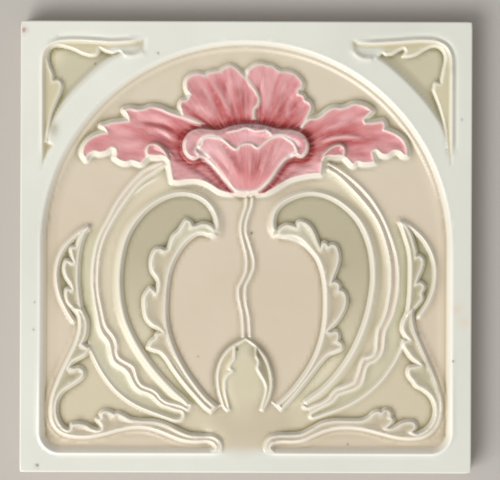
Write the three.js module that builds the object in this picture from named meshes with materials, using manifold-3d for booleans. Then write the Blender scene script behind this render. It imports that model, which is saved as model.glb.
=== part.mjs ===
// A relief-moulded art nouveau wall tile, pressed and fired in one piece.
// It lies on its back: X to the right, Y to the top of the picture, Z up out of the glazed face.
// The origin is the middle of the back. All sizes are in millimetres.
import * as THREE from 'three';
import { mergeVertices } from 'three/addons/utils/BufferGeometryUtils.js';
import Module from 'manifold-3d';

const wasm = await Module();
wasm.setup();

// Driving sizes of the tile body
const TILE_SIDE = 152;
const FRAME_HEIGHT = 9;
const TILE_CORNER_RADIUS = 1.2;
const ARRIS = 0.7;

// The arched panel that is sunk into the face, and the white frame round it
const FRAME_WIDTH = 7.2;
const PANEL_DEPTH = 2;
const PANEL_COVE = 2.4;
const PANEL_CORNER_RADIUS = 6.5;
const ARCH_BAND_WIDTH = 8.4;

// The sunk floor of the two leaf corners above the arch
const CORNER_DEPTH = 1.5;

// How high each kind of relief stands, above the panel's floor
const STEM_RISE = 0.95;
const CREST_RISE = 1.05;
const LEAF_BAND_RISE = 1.1;
const SCROLL_RISE = 1.2;
const BUD_RISE = 0.9;
const BACK_PETAL_RISE = 1.8;
const SIDE_PETAL_RISE = 2.1;
const FOLD_RISE = 2.5;
const CUP_RISE = 2.3;
const CUP_ROLL_RISE = 3.5;
const FRONT_PETAL_RISE = 3.2;
const SEPAL_RISE = 1.4;
const CORNER_CREST_RISE = 0.35;

// Widths of the moulded lines and of the softened edges
const CREST_FOOT = 1.9;
const CREST_TOP = 0.6;
const STEM_HALF_GAP = 0.95;
const STEM_FOOT = 1.7;
const BUD_EDGE = 0.7;
const CUP_GROOVE_WIDTH = 2.2;
const CUP_GROOVE_DEPTH = 1;
const CUP_ROLL_RADIUS = 1.3;

// Mortar grooves pressed into the back
const GROOVE_COUNT = 8;
const GROOVE_WIDTH = 7;
const GROOVE_DEPTH = 1.2;
const GROOVE_MARGIN = 14;

// How finely curves are stepped, and how deep a relief piece is rooted in the body
const LIP_STEP = 1.7;
const LINE_STEP = 3.4;
const ARCH_STEPS = 40;
const CORNER_STEPS = 6;
const ROOT = 1.5;
const CLEAR = 1;

// The drawing below was made for a panel of this half width, and is fitted to the panel's real one
const DRAWN_HALF_WIDTH = 68.8;
const panelHalf = TILE_SIDE / 2 - FRAME_WIDTH;
const fit = panelHalf / DRAWN_HALF_WIDTH;
const floorHeight = FRAME_HEIGHT - PANEL_DEPTH;

// The drawn lines, as [x, y] points from the middle of the tile. K marks a sharp corner.
const K = 1;
const DRAWN = {
  leafCrestLeft: [
    [-19, -53.8], [-20.5, -52], [-24, -48.8], [-28, -44.7], [-32, -40], [-35.5, -35], [-38.3, -30],
    [-40.5, -25], [-42, -19], [-42.6, -13], [-42.5, -8], [-41.8, -2.5], [-40.3, 3], [-38, 7.5],
    [-34.7, 11.7], [-31, 14.8], [-27, 17], [-23, 18.1], [-19, 18], [-15, 16.6], [-12, 14],
    [-10.2, 10.5], [-9.8, 7], [-10.4, 4.6],
  ],
  leafLipLeft: [
    [-10.6, 4.9], [-11.2, 6.3], [-12.8, 7.4], [-14.8, 7.6], [-16.6, 6.9], [-18.2, 6.8, K],
    [-18.8, 8.3], [-20, 8.9], [-21, 7.7], [-22.4, 5.5], [-24.4, 3.6], [-25.3, 1.3], [-25.9, -0.8, K],
    [-27.2, -1.4], [-28.8, -0.8], [-30.3, -1], [-31.4, -2.8], [-31.9, -5.5], [-31.5, -8],
    [-30.2, -10], [-29.4, -11.5], [-29.4, -13.5], [-30, -15.7, K], [-32.2, -13.9, K], [-33.6, -15.8],
    [-34.2, -17.2], [-34.2, -20.5], [-33.4, -24], [-31.5, -26.2], [-29.2, -27.4], [-27.6, -28.9, K],
    [-29.7, -29.5], [-30.2, -30.7], [-31.8, -32], [-32.7, -33.9, K], [-31, -34.7], [-28.8, -35.4],
    [-26.8, -37.4], [-24.4, -41], [-21, -45.6], [-17.2, -50], [-13.6, -53.8], [-11.6, -55.3, K],
  ],
  leafVeinLeft: [
    [-10.6, 4.3], [-12.5, 4.3], [-14.5, 4.8], [-16.5, 4.6], [-19, 3], [-21.5, 0.4], [-24, -3.6],
    [-25.7, -8], [-26.6, -13], [-27, -18], [-27, -23], [-26.4, -27.5], [-25.3, -31.5], [-23.5, -36],
    [-20.5, -41.5], [-17, -46.5], [-13.5, -50.8], [-10.2, -53.8],
  ],
  stemLeft: [
    [-28.6, 27.6], [-32.5, 24.5], [-37, 20], [-40.7, 16], [-44.2, 11], [-47, 5.5], [-49, 0],
    [-50.2, -5], [-50.7, -10], [-50.6, -14], [-50, -18.5], [-49, -23], [-47.6, -27], [-45.9, -30.2],
    [-44.7, -33], [-44.2, -35.8], [-42.8, -38.2], [-40.3, -39.9], [-38.2, -41.5], [-37.2, -44],
    [-36, -46.2], [-33.8, -47.7], [-31.3, -48.7], [-29.6, -50.6], [-27.8, -52.7], [-25, -54],
    [-21.6, -55],
  ],
  outerLineTopLeft: [
    [-54.2, 4.8], [-55.4, 1.5], [-56.3, -3.5], [-56.6, -8.5], [-56.5, -13], [-55.9, -18],
    [-55.3, -21.5],
  ],
  outerLineLeft: [
    [-53.4, -32.5], [-52.2, -35.5], [-50.3, -39], [-47, -43.5], [-42.5, -48.2], [-38, -51.6],
    [-33, -54.3], [-28, -56.4], [-24, -57.8], [-21.6, -58.2],
  ],
  sideLeafCrestLeft: [
    [-52.4, 6.7], [-55, 5.5], [-58, 3.2], [-61, 0], [-63, -4], [-63.8, -8], [-63.7, -12],
    [-62.7, -16.5], [-61, -20.3], [-59, -23.8], [-57.2, -26.3],
  ],
  sideLeafLipLeft: [
    [-53, 6.5], [-54.6, 5.1], [-56, 2.9], [-57, -0.1, K], [-58.9, -0.6], [-58.7, -2.6],
    [-57.8, -5.5, K], [-59, -5.2], [-60.4, -4.7], [-61.3, -7], [-60.6, -10], [-59, -12.6],
    [-58.3, -14.6, K], [-60.3, -14.4], [-60.6, -16.8], [-59.7, -19.2], [-57.8, -21],
  ],
  scrollCrestLeft: [
    [-57.8, -21], [-56.4, -22.8], [-55.8, -25.5], [-56, -28.5], [-57, -32], [-58.8, -36],
    [-61, -40.5], [-63.2, -45.5], [-64.9, -50.3], [-65.5, -55], [-65, -58.8], [-63.3, -61.6],
    [-60.5, -63.3], [-56.5, -64], [-52, -63.9], [-47, -62.9], [-42, -61.5], [-37, -60.7],
    [-33, -60.9], [-29, -62], [-25, -63.6], [-21, -65], [-17, -65.5], [-12.5, -65.4],
    [-10.6, -66.2], [-10, -67.5], [-10.8, -68.7],
  ],
  scrollLipLeft: [
    [-55.3, -21.5], [-53.9, -24.3], [-53.6, -27.3], [-54.1, -30.2], [-55.4, -32.8, K],
    [-54.1, -33.6], [-53.2, -34.6], [-53.8, -36], [-56, -37.4], [-58.4, -38.7], [-59.8, -40.8, K],
    [-57.8, -41.2], [-55.8, -41], [-54.6, -42.1], [-54.9, -43.7], [-56.7, -45.3, K], [-59, -46.8],
    [-61.6, -48.6], [-63.5, -51.6], [-64, -55], [-63.2, -58.5], [-61.4, -61.2], [-59.6, -62],
    [-58.7, -61.4], [-58.3, -60, K], [-56, -59.8], [-53.6, -60.2], [-51.5, -61.4], [-49.6, -62],
    [-48.2, -61.3], [-48.5, -60], [-49.9, -58.2, K], [-48.6, -57.8], [-48.6, -56.3], [-47.5, -55.5],
    [-46, -55.6], [-44.2, -56.5, K], [-42.8, -56.2], [-41, -57], [-38.5, -58.3], [-35, -58.8],
    [-30, -59], [-26, -60.2], [-22, -62.2], [-18.5, -63.5], [-14.5, -63.8], [-11, -63.8],
    [-8.9, -65], [-8.2, -67], [-8.9, -68.8], [-10.5, -69.5],
  ],
  leafCrestRight: [
    [19.6, -53], [22, -51], [26, -48], [30, -44], [33.5, -39.5], [36.5, -34.5], [39, -29], [41, -23],
    [42.3, -17], [43, -11], [42.8, -5], [42, 0], [40.3, 5], [37.8, 9.5], [34, 13.5], [30, 16.3],
    [25.5, 18], [21, 18.4], [16.5, 17.3], [12.5, 15.2], [10.3, 12.9], [9.2, 10], [9.2, 7], [10.2, 4.8],
  ],
  leafLipRight: [
    [10.8, 4.6], [11.6, 6.1], [13.6, 7.4], [15.5, 7.1], [17.2, 6.5, K], [17.9, 8.5], [19.5, 8.4],
    [21.5, 7], [23, 4.5], [24, 1.8], [25.2, -0.8, K], [25.7, 0.8], [26.6, 1.4], [27.8, 0.2],
    [28.8, 0.7], [30, 0.6], [31, -1.5], [31.2, -3.8], [30.6, -6.5], [29.5, -9.3], [28.6, -12.2, K],
    [30.2, -11.8], [31.3, -12.6], [31.2, -14.7, K], [32.7, -14.9], [33.6, -16.5], [33.6, -19],
    [32.5, -22], [30.5, -25], [28.5, -27], [27.2, -28.5, K], [29, -28.8], [30.8, -28.5],
    [31.2, -30], [30.8, -31.5, K], [32.3, -32.6], [32.2, -34], [30.2, -35], [27.8, -36],
    [25.2, -38.7], [22.5, -42.2], [19, -46.7], [15.5, -51], [12.2, -54.6, K],
  ],
  leafVeinRight: [
    [10.6, 4.2], [13, 3.8], [16, 3.8], [18.5, 2.8], [20.5, 1], [22.5, -1.3], [24.3, -3.8],
    [25.6, -7], [26.5, -11], [26.9, -15], [27, -20], [26.7, -25], [26, -29.5], [24.7, -34],
    [22.7, -38.7], [19.5, -43.8], [15.5, -48.8], [10.8, -53.2],
  ],
  stemRight: [
    [29, 27.3], [33.5, 23.7], [38.3, 19.3], [42.3, 14.8], [45.5, 10], [47.9, 5], [49.4, 0],
    [50.1, -5.5], [50.3, -11], [49.8, -16.5], [48.7, -21], [47.3, -24.5], [45.9, -28],
    [45.4, -31.5], [45.2, -34.8], [44.2, -36.9], [42.2, -38.4], [40.4, -40.2], [39.4, -42.6],
    [38.5, -45.2], [36.5, -46.7], [33.8, -47.6], [31.3, -48.6], [29.8, -50.2], [27.8, -52],
    [24.5, -53.9], [21.6, -55],
  ],
  outerLineTopRight: [
    [52.5, 6.8], [53.6, 3.5], [54.7, 0], [55.3, -4], [55.4, -9], [55.3, -14], [54.9, -19],
    [54.4, -22.5],
  ],
  outerLineRight: [
    [53.2, -31.5], [52.3, -35], [50.6, -38.9], [47.8, -42.9], [44.5, -46.4], [40, -50.1],
    [35.5, -52.6], [30, -55], [26, -56.6], [22.8, -57.4],
  ],
  sideLeafCrestRight: [
    [51, 9], [54, 7.9], [57, 5.8], [60, 2.7], [62.3, -1.2], [63.5, -5], [63.8, -9], [63.3, -13.5],
    [61.8, -17.8], [59.8, -21.2], [57.5, -24.5],
  ],
  sideLeafLipRight: [
    [52, 8.3], [53.6, 7.2], [55.3, 4.8], [56.4, 1.6], [57.1, -1], [57.2, -3.3, K], [58.6, -2.9],
    [59.6, -4], [59.4, -6.6], [58.2, -9.5], [57.1, -12.4, K], [58.8, -11.9], [60, -12.8],
    [59.2, -15.2, K], [59.4, -17], [57.8, -19.3], [55.9, -21.2],
  ],
  scrollCrestRight: [
    [55.9, -21.2], [55.9, -23], [56.2, -25.5], [57, -28.5], [58.5, -32], [60.5, -36.5],
    [62.7, -41.5], [64.6, -46.5], [65.7, -51], [65.8, -55], [64.9, -59], [62.8, -62], [60, -63.7],
    [56, -64.3], [51, -63.9], [46, -62.7], [41, -61.4], [36, -60.7], [31, -60.8], [27, -61.7],
    [23, -63.4], [19.5, -64.9], [16, -65.4], [12, -65.4], [9.3, -66], [8.2, -67.5], [8.9, -68.8],
  ],
  scrollLipRight: [
    [54.4, -22.5], [53.2, -24.8], [52.8, -27.2], [53.6, -29.2], [55.3, -31.1, K], [53.5, -32],
    [53.5, -33.4], [54.5, -35], [56, -37], [58, -38.6], [59.3, -39.8, K], [57, -40.2],
    [55.2, -40.6], [54.8, -42.2], [55.5, -43.8], [56.5, -44.9, K], [57.5, -46.4], [60, -47.8],
    [62.5, -50], [63.9, -53], [64, -56.5], [62.7, -59.7], [60.2, -62], [57.6, -62.9],
    [55.9, -62, K], [57.2, -60.4], [56.9, -59.1], [55.3, -58.7], [53, -59.2], [50.8, -60.4],
    [48.5, -61], [47.3, -60.7, K], [48.8, -59.3], [49.6, -58], [49, -57.2], [48.9, -55.6],
    [48, -54.8], [47, -54.8], [46, -55.6], [44.6, -55.3], [43.2, -55.8], [41.8, -57.2],
    [39.5, -58.3], [35, -58.5], [30, -58.5], [26, -59.3], [22.5, -61.2], [19, -62.9], [15, -63.3],
    [11, -63.3], [8.5, -64], [7, -66], [7.2, -68.3], [9, -69.6],
  ],
  middleStem: [
    [1.3, 17], [0.9, 14], [-0.4, 10.4], [-0.95, 7], [-0.75, 3.8], [0.4, 0.2], [1.45, -3.8],
    [1.4, -7.8], [0.15, -11.2], [-1.2, -13.8], [-1.4, -16], [-0.75, -20], [-0.05, -25], [0.1, -30.5],
  ],
  bud: [
    [-5.8, -55.3, K], [-7.2, -54], [-8.9, -50.5], [-9.6, -46], [-8.7, -41], [-6.5, -36.5],
    [-3.5, -33], [0, -30.9], [3.5, -33], [6.3, -36.5], [8.3, -41], [9, -46], [8.4, -50.5],
    [7, -53.6], [5.4, -55.2, K],
  ],
  sepalOuterLeft: [
    [-5.8, -55.3], [-6.9, -53.8], [-8.5, -50.3], [-9.2, -46], [-8.3, -41.2], [-6.2, -36.8], [-3.5, -33.4],
  ],
  sepalEdgeLeft: [
    [-5.8, -55.3], [-6.6, -51.5], [-7, -47.5], [-6.4, -43.6], [-4.6, -40.9, K], [-5.7, -40.2],
    [-4, -37.5], [-3.7, -35], [-3.5, -33.4],
  ],
  sepalOuterRight: [
    [5.4, -55.2], [6.7, -53.4], [8, -50.3], [8.6, -46], [7.9, -41.2], [6, -36.8], [3.5, -33.4],
  ],
  sepalEdgeRight: [
    [5.4, -55.2], [6.1, -51.5], [6.8, -48], [6.4, -44.5], [3.8, -41.1, K], [4.4, -40],
    [3.3, -37.5], [3, -35], [3.5, -33.4],
  ],
  backPetalLeft: [
    [2.9, 41], [2.5, 44.5], [2.7, 46.5], [3.9, 48], [4.2, 50], [3.2, 52.5], [1.5, 54.7], [0, 56.6],
    [-1.5, 58], [-3.5, 60], [-5.5, 61], [-7.5, 60.2], [-9, 59.3], [-12.5, 58.6], [-14, 57.9],
    [-16.5, 58.3], [-18.5, 57.8], [-20, 56.5], [-20.5, 54.5], [-20, 52.5], [-19, 51.4, K],
    [-19.9, 49.6], [-21.7, 49.1], [-22.4, 47.6], [-21.8, 45.8], [-19.5, 44.2], [-16, 42.2],
    [-12, 38, K], [-6, 36], [0, 36, K],
  ],
  backPetalRight: [
    [0, 57, K], [0.4, 59.2], [1.6, 60.3], [3, 61.3], [5, 61.6], [7, 61.1], [8.8, 60.8], [10, 59.8],
    [11.5, 59.1], [14, 59], [16, 58.4], [17.5, 57.1], [18.8, 55.3], [18.5, 53.9], [17.5, 52.9],
    [17.5, 51.7, K], [19.1, 51], [19.7, 49.4, K], [21.1, 48.8], [21.8, 47.5], [21.3, 45.5],
    [20.2, 43.5], [19.6, 41.5], [18.4, 37.6, K], [9, 36], [0, 36, K],
  ],
  sidePetalLeft: [
    [-11, 38.6, K], [-16, 41.8], [-19, 43], [-22.5, 44.1], [-26, 45.3], [-29, 46.6], [-32, 47],
    [-34.2, 46.3], [-36.5, 46.1], [-39, 46.5], [-41.2, 45.9, K], [-40, 44.2], [-39.5, 42.4, K],
    [-42, 42], [-45, 41.7], [-47.2, 41], [-48.8, 40.6, K], [-47.5, 39.4], [-46.9, 38.4, K],
    [-49, 38], [-51.5, 37], [-53.5, 35.5], [-54.8, 33.5], [-55, 31], [-53.9, 29.4, K],
    [-52.8, 31.1], [-51.3, 31.8], [-49, 31.5], [-47, 32], [-45.4, 33.1], [-44, 32.7, K],
    [-43.8, 31.2], [-44.2, 30, K], [-42.4, 28.8], [-40.4, 28.3], [-38.6, 28.8], [-37, 28.4],
    [-35.4, 28], [-34.3, 29.2], [-33, 30.6, K], [-30, 30.3], [-27.8, 30.2], [-26.4, 29.6],
    [-25.7, 27], [-25.3, 24.4], [-24.8, 22.2, K], [-23, 22], [-20, 22.4], [-17, 22.5], [-14, 21.8],
    [-11.5, 20.5], [-9, 18.9], [-6.5, 18.2], [-4, 18, K], [-4, 26], [-8, 34, K],
  ],
  sidePetalRight: [
    [17.2, 37.4, K], [20.2, 41.6], [21.8, 43], [23.5, 43.2], [25.5, 44.3], [27.5, 46], [29.5, 46.9],
    [32, 46.8], [34, 47.3], [36, 48.2], [38, 48.1], [40.5, 47.3], [42.3, 46, K], [40.9, 44.5],
    [39.6, 43.1], [40.1, 41.9, K], [43, 42], [46, 42.5, K], [46.5, 41.4], [46.3, 39.8, K],
    [48.5, 39], [51, 37.8], [53, 36], [54, 33.5], [54.1, 31, K], [53, 31], [51.6, 32.2],
    [49.6, 32.5], [47.5, 31.1], [45.5, 31.4], [43.6, 32.8], [42.4, 32.1, K], [42.8, 30.5],
    [43.1, 28.7, K], [41.3, 28.4], [39, 28.4], [37.5, 28.8], [36, 27.7], [34.5, 29], [32.8, 30.8, K],
    [30, 30.5], [27.3, 30.6], [25.9, 29.6], [25.3, 26.5], [25, 24.7, K], [22, 24.5], [18, 23.8],
    [14.5, 22.7], [11.5, 21], [9, 19.4], [6.5, 18.3], [4, 18, K], [4, 26], [9, 34, K],
  ],
  foldLeft: [
    [-33.3, 30.6, K], [-33.6, 32.6], [-32.8, 34.2], [-31, 34.6], [-29.4, 34], [-27.9, 32.6],
    [-26.7, 31], [-26.2, 29.4, K], [-28, 30.4], [-30.5, 30.4],
  ],
  foldRight: [
    [32.9, 30.6, K], [33, 33.2], [31.7, 34.4], [29.7, 34.1], [27.8, 33], [26.2, 31.4],
    [25.8, 29.8, K], [27.6, 30.7], [30.2, 30.6],
  ],
  cup: [
    [-3.4, 18.4], [-5, 20.8], [-7, 23.5], [-9.6, 26.8], [-12.2, 29.6], [-15.6, 30.2, K],
    [-17.6, 29.2], [-19.4, 29.9], [-20.9, 31.8], [-21.3, 34.2], [-20.6, 36.8], [-18.8, 38.6],
    [-16, 39.5], [-12.5, 39.3], [-9, 39.2], [-5.5, 40.4], [-2.5, 41], [1, 41.2], [5, 41],
    [8.5, 40.1], [11.5, 39.4], [15, 39.3], [18, 38.4], [20.2, 36.5], [21, 34], [20.4, 31.6],
    [18.6, 30.1], [16.2, 30.6, K], [13.6, 29.6], [11.2, 27.2], [9, 24], [6.8, 21], [4.4, 19],
    [1, 18.2],
  ],
  cupRoll: [
    [-15.9, 30.9], [-17.8, 30.7], [-19.4, 31.8], [-19.8, 34.2], [-19, 36.4], [-16.8, 37.8],
    [-13, 38], [-9, 37.7], [-5.5, 38.9], [-2, 39.4], [1, 39.8], [4.5, 39.4], [7.6, 38.8],
    [10.6, 37.9], [14, 37.8], [17, 37], [18.9, 35.2], [19.4, 33.4], [18.6, 31.9], [17, 31.5],
  ],
  frontPetal: [
    [-3.4, 19.4], [-5.2, 21.6], [-7.6, 24.6], [-10.2, 27.8], [-12.8, 30.6], [-15, 32.2, K],
    [-16.2, 34], [-15, 36.2], [-13, 37.2], [-11, 37.1], [-9, 36.6], [-7, 35.4], [-5, 33.8],
    [-3.4, 33.1, K], [-1.5, 34.3], [0, 34.8], [1.6, 34.5], [3.6, 33.4, K], [5, 34.1], [7, 35.8],
    [9, 37], [11, 37.5], [13, 37.2], [15, 36], [16.4, 34], [16.6, 32, K], [14, 30.4], [11.4, 27.8],
    [9, 24.6], [6.8, 21.8], [4.2, 19.8], [1, 19],
  ],
  cornerLipLeft: [
    [-41.5, 65.1, K], [-42.8, 65.9], [-45, 65.4], [-47, 65.8], [-49.5, 67, K], [-49.8, 65.6],
    [-50.6, 64.6], [-52, 64.3], [-55, 65], [-58, 66.4], [-61, 67.3], [-64, 67.7], [-66.2, 66.6],
    [-67, 64], [-66.5, 61], [-65.3, 58], [-65.2, 55.8, K], [-63, 55.8], [-62.2, 54.4],
    [-62.6, 52.4], [-64, 49], [-65.5, 45], [-66.7, 40], [-67.5, 35.4, K],
  ],
  cornerHeartLeft: [-38, 38],
  cornerCrestLeft: [
    [-33.6, 70.8], [-35.5, 69.9], [-38, 69.2], [-42, 68.8], [-46, 68.7], [-50, 69], [-55, 69.3],
    [-60, 69.3], [-64, 68.8], [-66.8, 67.4], [-68.3, 65], [-68.7, 61], [-68.7, 50], [-68.7, 40],
    [-68.7, 27],
  ],
  cornerLipRight: [
    [43.6, 63.7, K], [45.6, 65.6], [47, 64.8, K], [49, 65.2], [51.3, 66.6], [53, 67.2],
    [53.7, 66], [52.6, 64.3, K], [54.2, 64.3], [57, 65], [60, 66.8], [62.5, 67.8], [65, 67.4],
    [66.6, 65.5], [66.9, 63], [66.2, 59.4], [65.4, 55, K], [63.6, 55.5], [62.9, 53.2, K],
    [63.7, 51], [65, 47.5], [66.3, 43], [67.2, 38.5], [67.7, 34, K],
  ],
  cornerHeartRight: [38, 38],
  cornerCrestRight: [
    [36.2, 69.7], [38, 68.9], [41, 68.6], [45, 68.7], [50, 69], [55, 69.4], [60, 69.6], [64, 69.2],
    [67, 67.6], [68.5, 65], [68.9, 61], [68.9, 50], [68.9, 40], [68.9, 28],
  ],
};

// Turns a drawn line into points on the tile: a smooth curve through the points between two corners
function drawLine(points, step, closed = false) {
  const drawn = points.map(([x, y]) => new THREE.Vector3(x * fit, y * fit, 0));
  const sharp = points.map((p) => p[2] === K);
  const order = drawn.map((_, i) => i);
  if (closed) {
    const first = Math.max(sharp.indexOf(true), 0);
    order.push(...order.splice(0, first));
    order.push(order[0]);
  }
  const out = [];
  let run = [drawn[order[0]]];
  for (let i = 1; i < order.length; i++) {
    run.push(drawn[order[i]]);
    if (sharp[order[i]] || i === order.length - 1) {
      const curve = new THREE.CatmullRomCurve3(run, false, 'centripetal');
      const steps = run.length > 2 ? Math.max(1, Math.round(curve.getLength() / step)) : 1;
      out.push(...curve.getSpacedPoints(steps).slice(out.length ? 1 : 0));
      run = [drawn[order[i]]];
    }
  }
  if (closed) out.pop();
  return out.map((p) => new THREE.Vector2(p.x, p.y));
}

// A closed geometry as a solid that can be joined and cut
function solid(geometry) {
  const bare = new THREE.BufferGeometry();
  bare.setAttribute('position', geometry.getAttribute('position'));
  if (geometry.index) bare.setIndex(geometry.index);
  const merged = mergeVertices(bare, 1e-4);
  const vertProperties = new Float32Array(merged.getAttribute('position').array);
  const triVerts = new Uint32Array(merged.index.array);
  return new wasm.Manifold(new wasm.Mesh({ numProp: 3, vertProperties, triVerts }));
}

// A solid with this outline in plan, from low to high, its top edge softened over the given width
function raised(outline, low, high, edge, edgeDrop) {
  const geometry = new THREE.ExtrudeGeometry(new THREE.Shape(outline), {
    depth: high - low - 2 * edgeDrop,
    bevelEnabled: true,
    bevelSize: edge,
    bevelOffset: -edge,
    bevelThickness: edgeDrop,
    bevelSegments: 2,
  });
  geometry.translate(0, 0, low + edgeDrop);
  return solid(geometry);
}

// A solid with this outline in plan and upright sides, for outlines with fine teeth
function upright(outline, low, high) {
  const depth = high - low;
  const geometry = new THREE.ExtrudeGeometry(new THREE.Shape(outline), { depth, bevelEnabled: false });
  geometry.translate(0, 0, low);
  return solid(geometry);
}

// A cutter that opens upwards, with a quarter-round cove along its bottom edge
function sunk(outline, floor, cove, depth, segments) {
  const geometry = new THREE.ExtrudeGeometry(new THREE.Shape(outline), {
    depth: CLEAR,
    bevelEnabled: true,
    bevelSize: cove,
    bevelOffset: -cove,
    bevelThickness: depth,
    bevelSegments: segments,
  });
  geometry.translate(0, 0, floor + depth);
  return solid(geometry);
}

// A moulded line along a path: a flat-topped ridge with sloping sides, rooted in the body
function ridge(path, base, rise, foot, top) {
  const section = new THREE.Shape([
    new THREE.Vector2(-foot / 2, -ROOT),
    new THREE.Vector2(-foot / 2, 0),
    new THREE.Vector2(-top / 2, rise),
    new THREE.Vector2(top / 2, rise),
    new THREE.Vector2(foot / 2, 0),
    new THREE.Vector2(foot / 2, -ROOT),
  ]);
  return sweep(section, path, base);
}

// Carries a section along a level path, with the section's Y upright
function sweep(section, path, height) {
  const points = path.map((p) => new THREE.Vector3(p.x, p.y, height));
  const curve = new THREE.CatmullRomCurve3(points, false, 'centripetal');
  const turned = new THREE.Shape(section.getPoints().map((p) => new THREE.Vector2(-p.y, p.x)));
  const steps = points.length - 1;
  return solid(new THREE.ExtrudeGeometry(turned, { steps, bevelEnabled: false, extrudePath: curve }));
}

// The path shifted sideways by an even distance
function beside(path, distance) {
  return path.map((p, i) => {
    const before = path[Math.max(i - 1, 0)];
    const after = path[Math.min(i + 1, path.length - 1)];
    const along = after.clone().sub(before).normalize();
    return new THREE.Vector2(p.x - along.y * distance, p.y + along.x * distance);
  });
}

// The panel's outline: straight sides, two rounded corners at the foot, and a half-round arch
function panelOutline() {
  const shape = new THREE.Shape();
  const r = PANEL_CORNER_RADIUS;
  shape.moveTo(-panelHalf + r, -panelHalf);
  shape.lineTo(panelHalf - r, -panelHalf);
  shape.absarc(panelHalf - r, -panelHalf + r, r, -Math.PI / 2, 0, false);
  shape.absarc(0, 0, panelHalf, 0, Math.PI, false);
  shape.absarc(-panelHalf + r, -panelHalf + r, r, Math.PI, 1.5 * Math.PI, false);
  return evenArcs(shape);
}

// The points of a shape whose arcs are stepped coarsely at corners and finely round the arch
function evenArcs(shape) {
  const points = [];
  for (const curve of shape.curves) {
    const big = curve.xRadius > 2 * PANEL_CORNER_RADIUS;
    const steps = curve.xRadius ? (big ? ARCH_STEPS : CORNER_STEPS) : 1;
    points.push(...curve.getPoints(steps).slice(0, -1));
  }
  return points;
}

// The biscuit body, with its arrises softened on the face and the back
function body() {
  const half = TILE_SIDE / 2;
  const r = TILE_CORNER_RADIUS;
  const shape = new THREE.Shape();
  shape.moveTo(-half + r, -half);
  shape.absarc(half - r, -half + r, r, -Math.PI / 2, 0, false);
  shape.absarc(half - r, half - r, r, 0, Math.PI / 2, false);
  shape.absarc(-half + r, half - r, r, Math.PI / 2, Math.PI, false);
  shape.absarc(-half + r, -half + r, r, Math.PI, 1.5 * Math.PI, false);
  return raised(evenArcs(shape), 0, FRAME_HEIGHT, ARRIS, ARRIS);
}

// The straight grooves in the back that hold the mortar, with half-round ends
function mortarGrooves() {
  const pitch = (TILE_SIDE - 2 * GROOVE_MARGIN + GROOVE_WIDTH) / GROOVE_COUNT;
  const reach = TILE_SIDE / 2 - GROOVE_MARGIN - GROOVE_WIDTH / 2;
  const grooves = [];
  for (let i = 0; i < GROOVE_COUNT; i++) {
    const y = (i - (GROOVE_COUNT - 1) / 2) * pitch;
    const shape = new THREE.Shape();
    shape.moveTo(-reach, y - GROOVE_WIDTH / 2);
    shape.absarc(reach, y, GROOVE_WIDTH / 2, -Math.PI / 2, Math.PI / 2, false);
    shape.absarc(-reach, y, GROOVE_WIDTH / 2, Math.PI / 2, 1.5 * Math.PI, false);
    grooves.push(raised(evenArcs(shape), -CLEAR - GROOVE_DEPTH, GROOVE_DEPTH, GROOVE_DEPTH / 2, GROOVE_DEPTH / 2));
  }
  return grooves;
}

// The sunk floor of a leaf corner, between the toothed leaf edge and the round of the arch band
function cornerFloor(lip, heart) {
  const outline = [...drawLine(lip, LIP_STEP), new THREE.Vector2(heart[0] * fit, heart[1] * fit)];
  return upright(outline, FRAME_HEIGHT - CORNER_DEPTH, FRAME_HEIGHT + CLEAR).subtract(archBand());
}

// The round block over the arch that keeps the band above it at the frame's height
function archBand() {
  const radius = panelHalf + ARCH_BAND_WIDTH;
  const geometry = new THREE.CylinderGeometry(radius, radius, 2 * FRAME_HEIGHT, 2 * ARCH_STEPS);
  geometry.rotateX(Math.PI / 2);
  geometry.translate(0, 0, FRAME_HEIGHT);
  return solid(geometry);
}

// A leaf band: the plateau between a toothed lip and a smooth vein
function leafBand(lip, vein, rise) {
  const outline = [...drawLine(lip, LIP_STEP), ...drawLine(vein, LINE_STEP).reverse()];
  return upright(outline, floorHeight - ROOT, floorHeight + rise);
}

// A stem: two moulded lines side by side
function stem(line) {
  const path = drawLine(line, LINE_STEP);
  return [STEM_HALF_GAP, -STEM_HALF_GAP].map((shift) =>
    ridge(beside(path, shift), floorHeight, STEM_RISE, STEM_FOOT, CREST_TOP));
}

// One moulded line on the panel's floor
function crest(line, rise = CREST_RISE) {
  return ridge(drawLine(line, LINE_STEP), floorHeight, rise, CREST_FOOT, CREST_TOP);
}

// A petal: a plateau with a frilled outline
function petal(outline, rise) {
  return upright(drawLine(outline, LIP_STEP, true), floorHeight - ROOT, floorHeight + rise);
}

// A sepal: a plateau between the bud's outer line and the sepal's own edge
function sepal(outer, edge) {
  const outline = [...drawLine(outer, LINE_STEP), ...drawLine(edge, LIP_STEP).reverse().slice(1, -1)];
  return upright(outline, floorHeight - ROOT, floorHeight + SEPAL_RISE);
}

// The bud: a plateau with a soft edge
function budSolid() {
  const outline = drawLine(DRAWN.bud, LINE_STEP, true);
  return raised(outline, floorHeight - ROOT, floorHeight + BUD_RISE, BUD_EDGE, BUD_EDGE);
}

// The groove that parts the cup from the petals behind it
function cupGroove() {
  const high = SIDE_PETAL_RISE + CLEAR;
  const low = SIDE_PETAL_RISE - CUP_GROOVE_DEPTH;
  const section = new THREE.Shape([
    new THREE.Vector2(-CUP_GROOVE_WIDTH / 2, high),
    new THREE.Vector2(-CUP_GROOVE_WIDTH / 4, low),
    new THREE.Vector2(CUP_GROOVE_WIDTH / 4, low),
    new THREE.Vector2(CUP_GROOVE_WIDTH / 2, high),
  ]);
  const path = drawLine(DRAWN.cup.slice(4, -4).map(([x, y]) => [x, y]), LINE_STEP);
  return sweep(section, path, floorHeight);
}

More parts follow.
